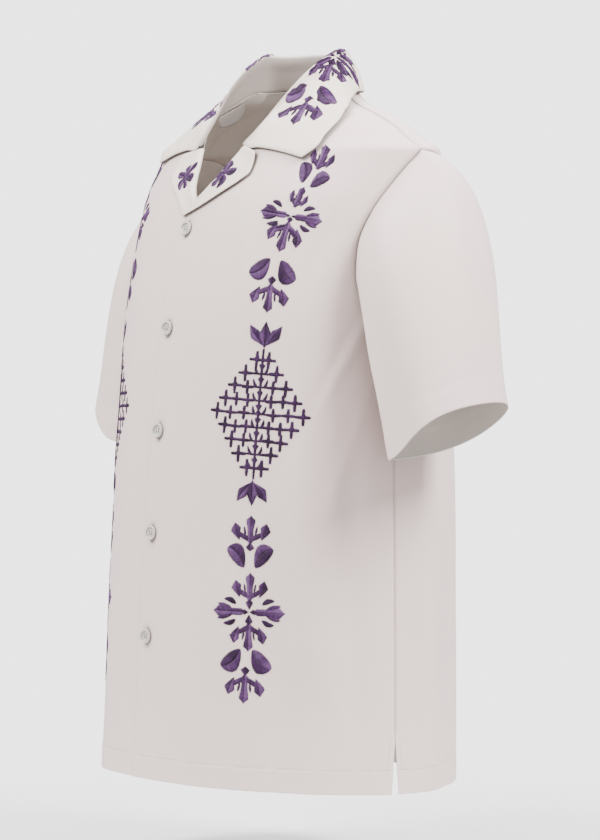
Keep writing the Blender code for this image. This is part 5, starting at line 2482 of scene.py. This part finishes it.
@dataclass
class Studio:
    """The floor, backdrop, lights and camera."""

    azimuth: float = 57.5
    elevation: float = 2.0
    distance: float = 4.5
    aim: tuple[float, float, float] = (0.0, -0.03, -0.341)
    aside: float = 0.0197
    focal: float = 186.1
    sensor: float = 36.0
    backdrop: float = 3.35
    ambient: float = 0.85
    floor_level: float = -0.80
    floor_radius: float = 1.1
    floor_colour: Colour = (0.86, 0.86, 0.86, 1.0)
    floor_roughness: float = 0.9
    light_distance: float = 2.6

    def camera(self) -> None:
        """A long lens at the photo's angle."""
        data = bpy.data.cameras.new("camera")
        data.lens, data.sensor_width, data.sensor_fit = self.focal, self.sensor, "AUTO"
        data.dof.use_dof = False
        camera = bpy.data.objects.new("camera", data)
        away = away_from(self.azimuth, self.elevation)
        right = away_from(self.azimuth + 90.0, 0.0)
        camera.location = Vector(self.aim) + right * self.aside + away * self.distance
        camera.rotation_euler = away.to_track_quat("Z", "Y").to_euler()
        bpy.context.scene.collection.objects.link(camera)
        bpy.context.scene.camera = camera

    def backdrop_world(self) -> None:
        """An even pale surround."""
        world = bpy.data.worlds.new("studio")
        world.use_nodes = True
        nodes = Nodes(world.node_tree)
        seen = nodes.add("ShaderNodeLightPath").outputs["Is Camera Ray"]
        nodes.fill(world.node_tree.nodes["Background"],
                   {"Color": (1.0, 1.0, 1.0, 1.0),
                    "Strength": nodes.between(seen, self.ambient, self.backdrop)})
        bpy.context.scene.world = world

    def floor(self) -> None:
        """A pale floor that fades into the surround."""
        bpy.ops.mesh.primitive_circle_add(vertices=96, radius=self.floor_radius, fill_type="NGON",
                                          location=(self.aim[0], self.aim[1], self.floor_level))
        floor = bpy.context.object
        floor.name = "studio_floor"
        material, nodes, shader = new_material("studio_floor")
        place = nodes.add("ShaderNodeTexCoord").outputs["Object"]
        far = nodes.add("ShaderNodeVectorMath", {0: place}, operation="LENGTH").outputs["Value"]
        fade = nodes.add("ShaderNodeMapRange", {0: far, 1: 0.25 * self.floor_radius,
                                                2: 0.95 * self.floor_radius, 3: 0.8, 4: 0.0},
                         interpolation_type="SMOOTHSTEP").outputs[0]
        nodes.fill(shader, {"Alpha": fade, "Base Color": self.floor_colour,
                            "Roughness": self.floor_roughness})
        floor.data.materials.append(material)

    def light(self, light: Light) -> None:
        """A square soft light that faces the shirt.

        Args:
            light: its row of the table.
        """
        data = bpy.data.lights.new(light.name, "AREA")
        data.shape, data.size, data.energy = "SQUARE", light.size, light.power
        away = away_from(light.azimuth, light.elevation)
        lamp = bpy.data.objects.new(light.name, data)
        lamp.location = Vector(self.aim) + away * self.light_distance
        lamp.rotation_euler = away.to_track_quat("Z", "Y").to_euler()
        bpy.context.scene.collection.objects.link(lamp)

    def build(self) -> None:
        """Set up everything."""
        self.backdrop_world()
        self.floor()
        for light in LIGHTS:
            self.light(light)
        self.camera()


BUTTON_HEIGHTS = (56.4, 46.3, 35.9, 25.5, 15.0)

# What shows of each cut piece laid flat, in metres and square metres
Cut = namedtuple("Cut", "width length area held rests_on")
CUTS = {
    "front_left": Cut(0.32, 0.71, 0.203, "hung", ("back",)),
    "front_right": Cut(0.32, 0.71, 0.203, "hung", ("back",)),
    "back": Cut(0.60, 0.71, 0.389, "hung", ("front_left", "front_right")),
    "sleeve_left": Cut(0.47, 0.29, 0.0845, "hung", ("front_left", "back")),
    "sleeve_right": Cut(0.47, 0.29, 0.0845, "hung", ("front_right", "back")),
    "collar": Cut(0.50, 0.12, 0.042, "folded", ("back", "front_left", "front_right")),
    "lapel_left": Cut(0.12, 0.05, 0.0031, "folded", ("front_left",)),
    "lapel_right": Cut(0.09, 0.05, 0.0025, "folded", ("front_right",)),
    "neck_tab": Cut(0.045, 0.014, 0.0004, "hung", ("front_right",)),
}


class Shirt:
    """The whole shirt."""

    def __init__(self) -> None:
        """Build the finishes and the seeded source of unevenness."""
        self.wardrobe = Wardrobe()
        self.draw = np.random.default_rng(41)

    def cloth(self) -> dict[str, tuple[Shell, bpy.types.Object]]:
        """Every cloth piece, by the solid that it stands for.

        Returns:
            Each piece's shell and object.
        """
        # Outer faces take the cloth, inner faces the copy darkened as painted shade.
        faces = [self.wardrobe.cloth, self.wardrobe.inside]
        turned_out = [self.wardrobe.collar, self.wardrobe.cloth]
        shells = {
            "front_left": FrontPanel("front_left_cloth", 1, button_heights=BUTTON_HEIGHTS).shell(),
            "front_right": FrontPanel("front_right_cloth", -1).shell(),
            "back": BackPanel().shell(),
            "sleeve_left": Sleeve("sleeve_left_cloth", 1).shell(),
            "sleeve_right": Sleeve("sleeve_right_cloth", -1).shell(),
            "collar": Collar().shell(),
            "lapel_left": Lapel("lapel_left_cloth", 1).shell(),
            "lapel_right": Lapel("lapel_right_cloth", -1).shell(),
            "neck_tab": NeckTab().shell(),
        }
        # Both faces of the neck tab take the finish darkened as painted shade.
        painted_shade_tab_faces = [self.wardrobe.tab, self.wardrobe.tab]
        materials = {"collar": turned_out, "lapel_left": turned_out, "lapel_right": turned_out,
                     "neck_tab": painted_shade_tab_faces}
        return {solid: (shell, shell.build(materials.get(solid, faces), "cloth", [solid]))
                for solid, shell in shells.items()}

    def build(self) -> None:
        """Build every piece."""
        cloth = self.cloth()
        Collar().paint_stand_shade(cloth["collar"][1])
        sewing = Sewing(self.draw)
        thread = [self.wardrobe.sewing]
        sewing.hem(thread)
        Buttonholes().build(BUTTON_HEIGHTS, thread, self.draw)
        for number, height in enumerate(BUTTON_HEIGHTS, start=1):
            Button().build(number, height, self.wardrobe)
        embroidery = Embroidery(self.wardrobe.purple, self.draw)
        embroidery.front("embroidery_front_left", 1)
        embroidery.front("embroidery_front_right", -1)
        near = collar_motifs()
        far = [motif._replace(column=2 * COLLAR_MIDDLE - motif.column,
                              toward_column=2 * COLLAR_MIDDLE - motif.toward_column)
               for motif in near]
        embroidery.on_shell("embroidery_collar", cloth["collar"][0], near + far)
        embroidery.on_shell("embroidery_lapel_left", cloth["lapel_left"][0],
                            [Placed(bow_flower(1.75), 18.5, 38.0, 18.0, 46.0)])
        embroidery.on_shell("embroidery_lapel_right", cloth["lapel_right"][0],
                            [Placed(bow_flower(1.55), 24.5, 38.5, 24.5, 49.5)])
        for solid, (shell, piece) in cloth.items():
            cut = CUTS[solid]
            LOG.info("%s: area %.4f against %.4f", solid, shell.area(), cut.area)
            rests_on = [cloth[other][1] for other in cut.rests_on]


def main() -> None:
    """Load the frame, build the shirt over it and set up the studio."""
    logging.basicConfig(level=logging.INFO, format="%(levelname)s %(message)s")
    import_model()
    Shirt().build()
    Studio().build()


if __name__ == "__main__":
    main()
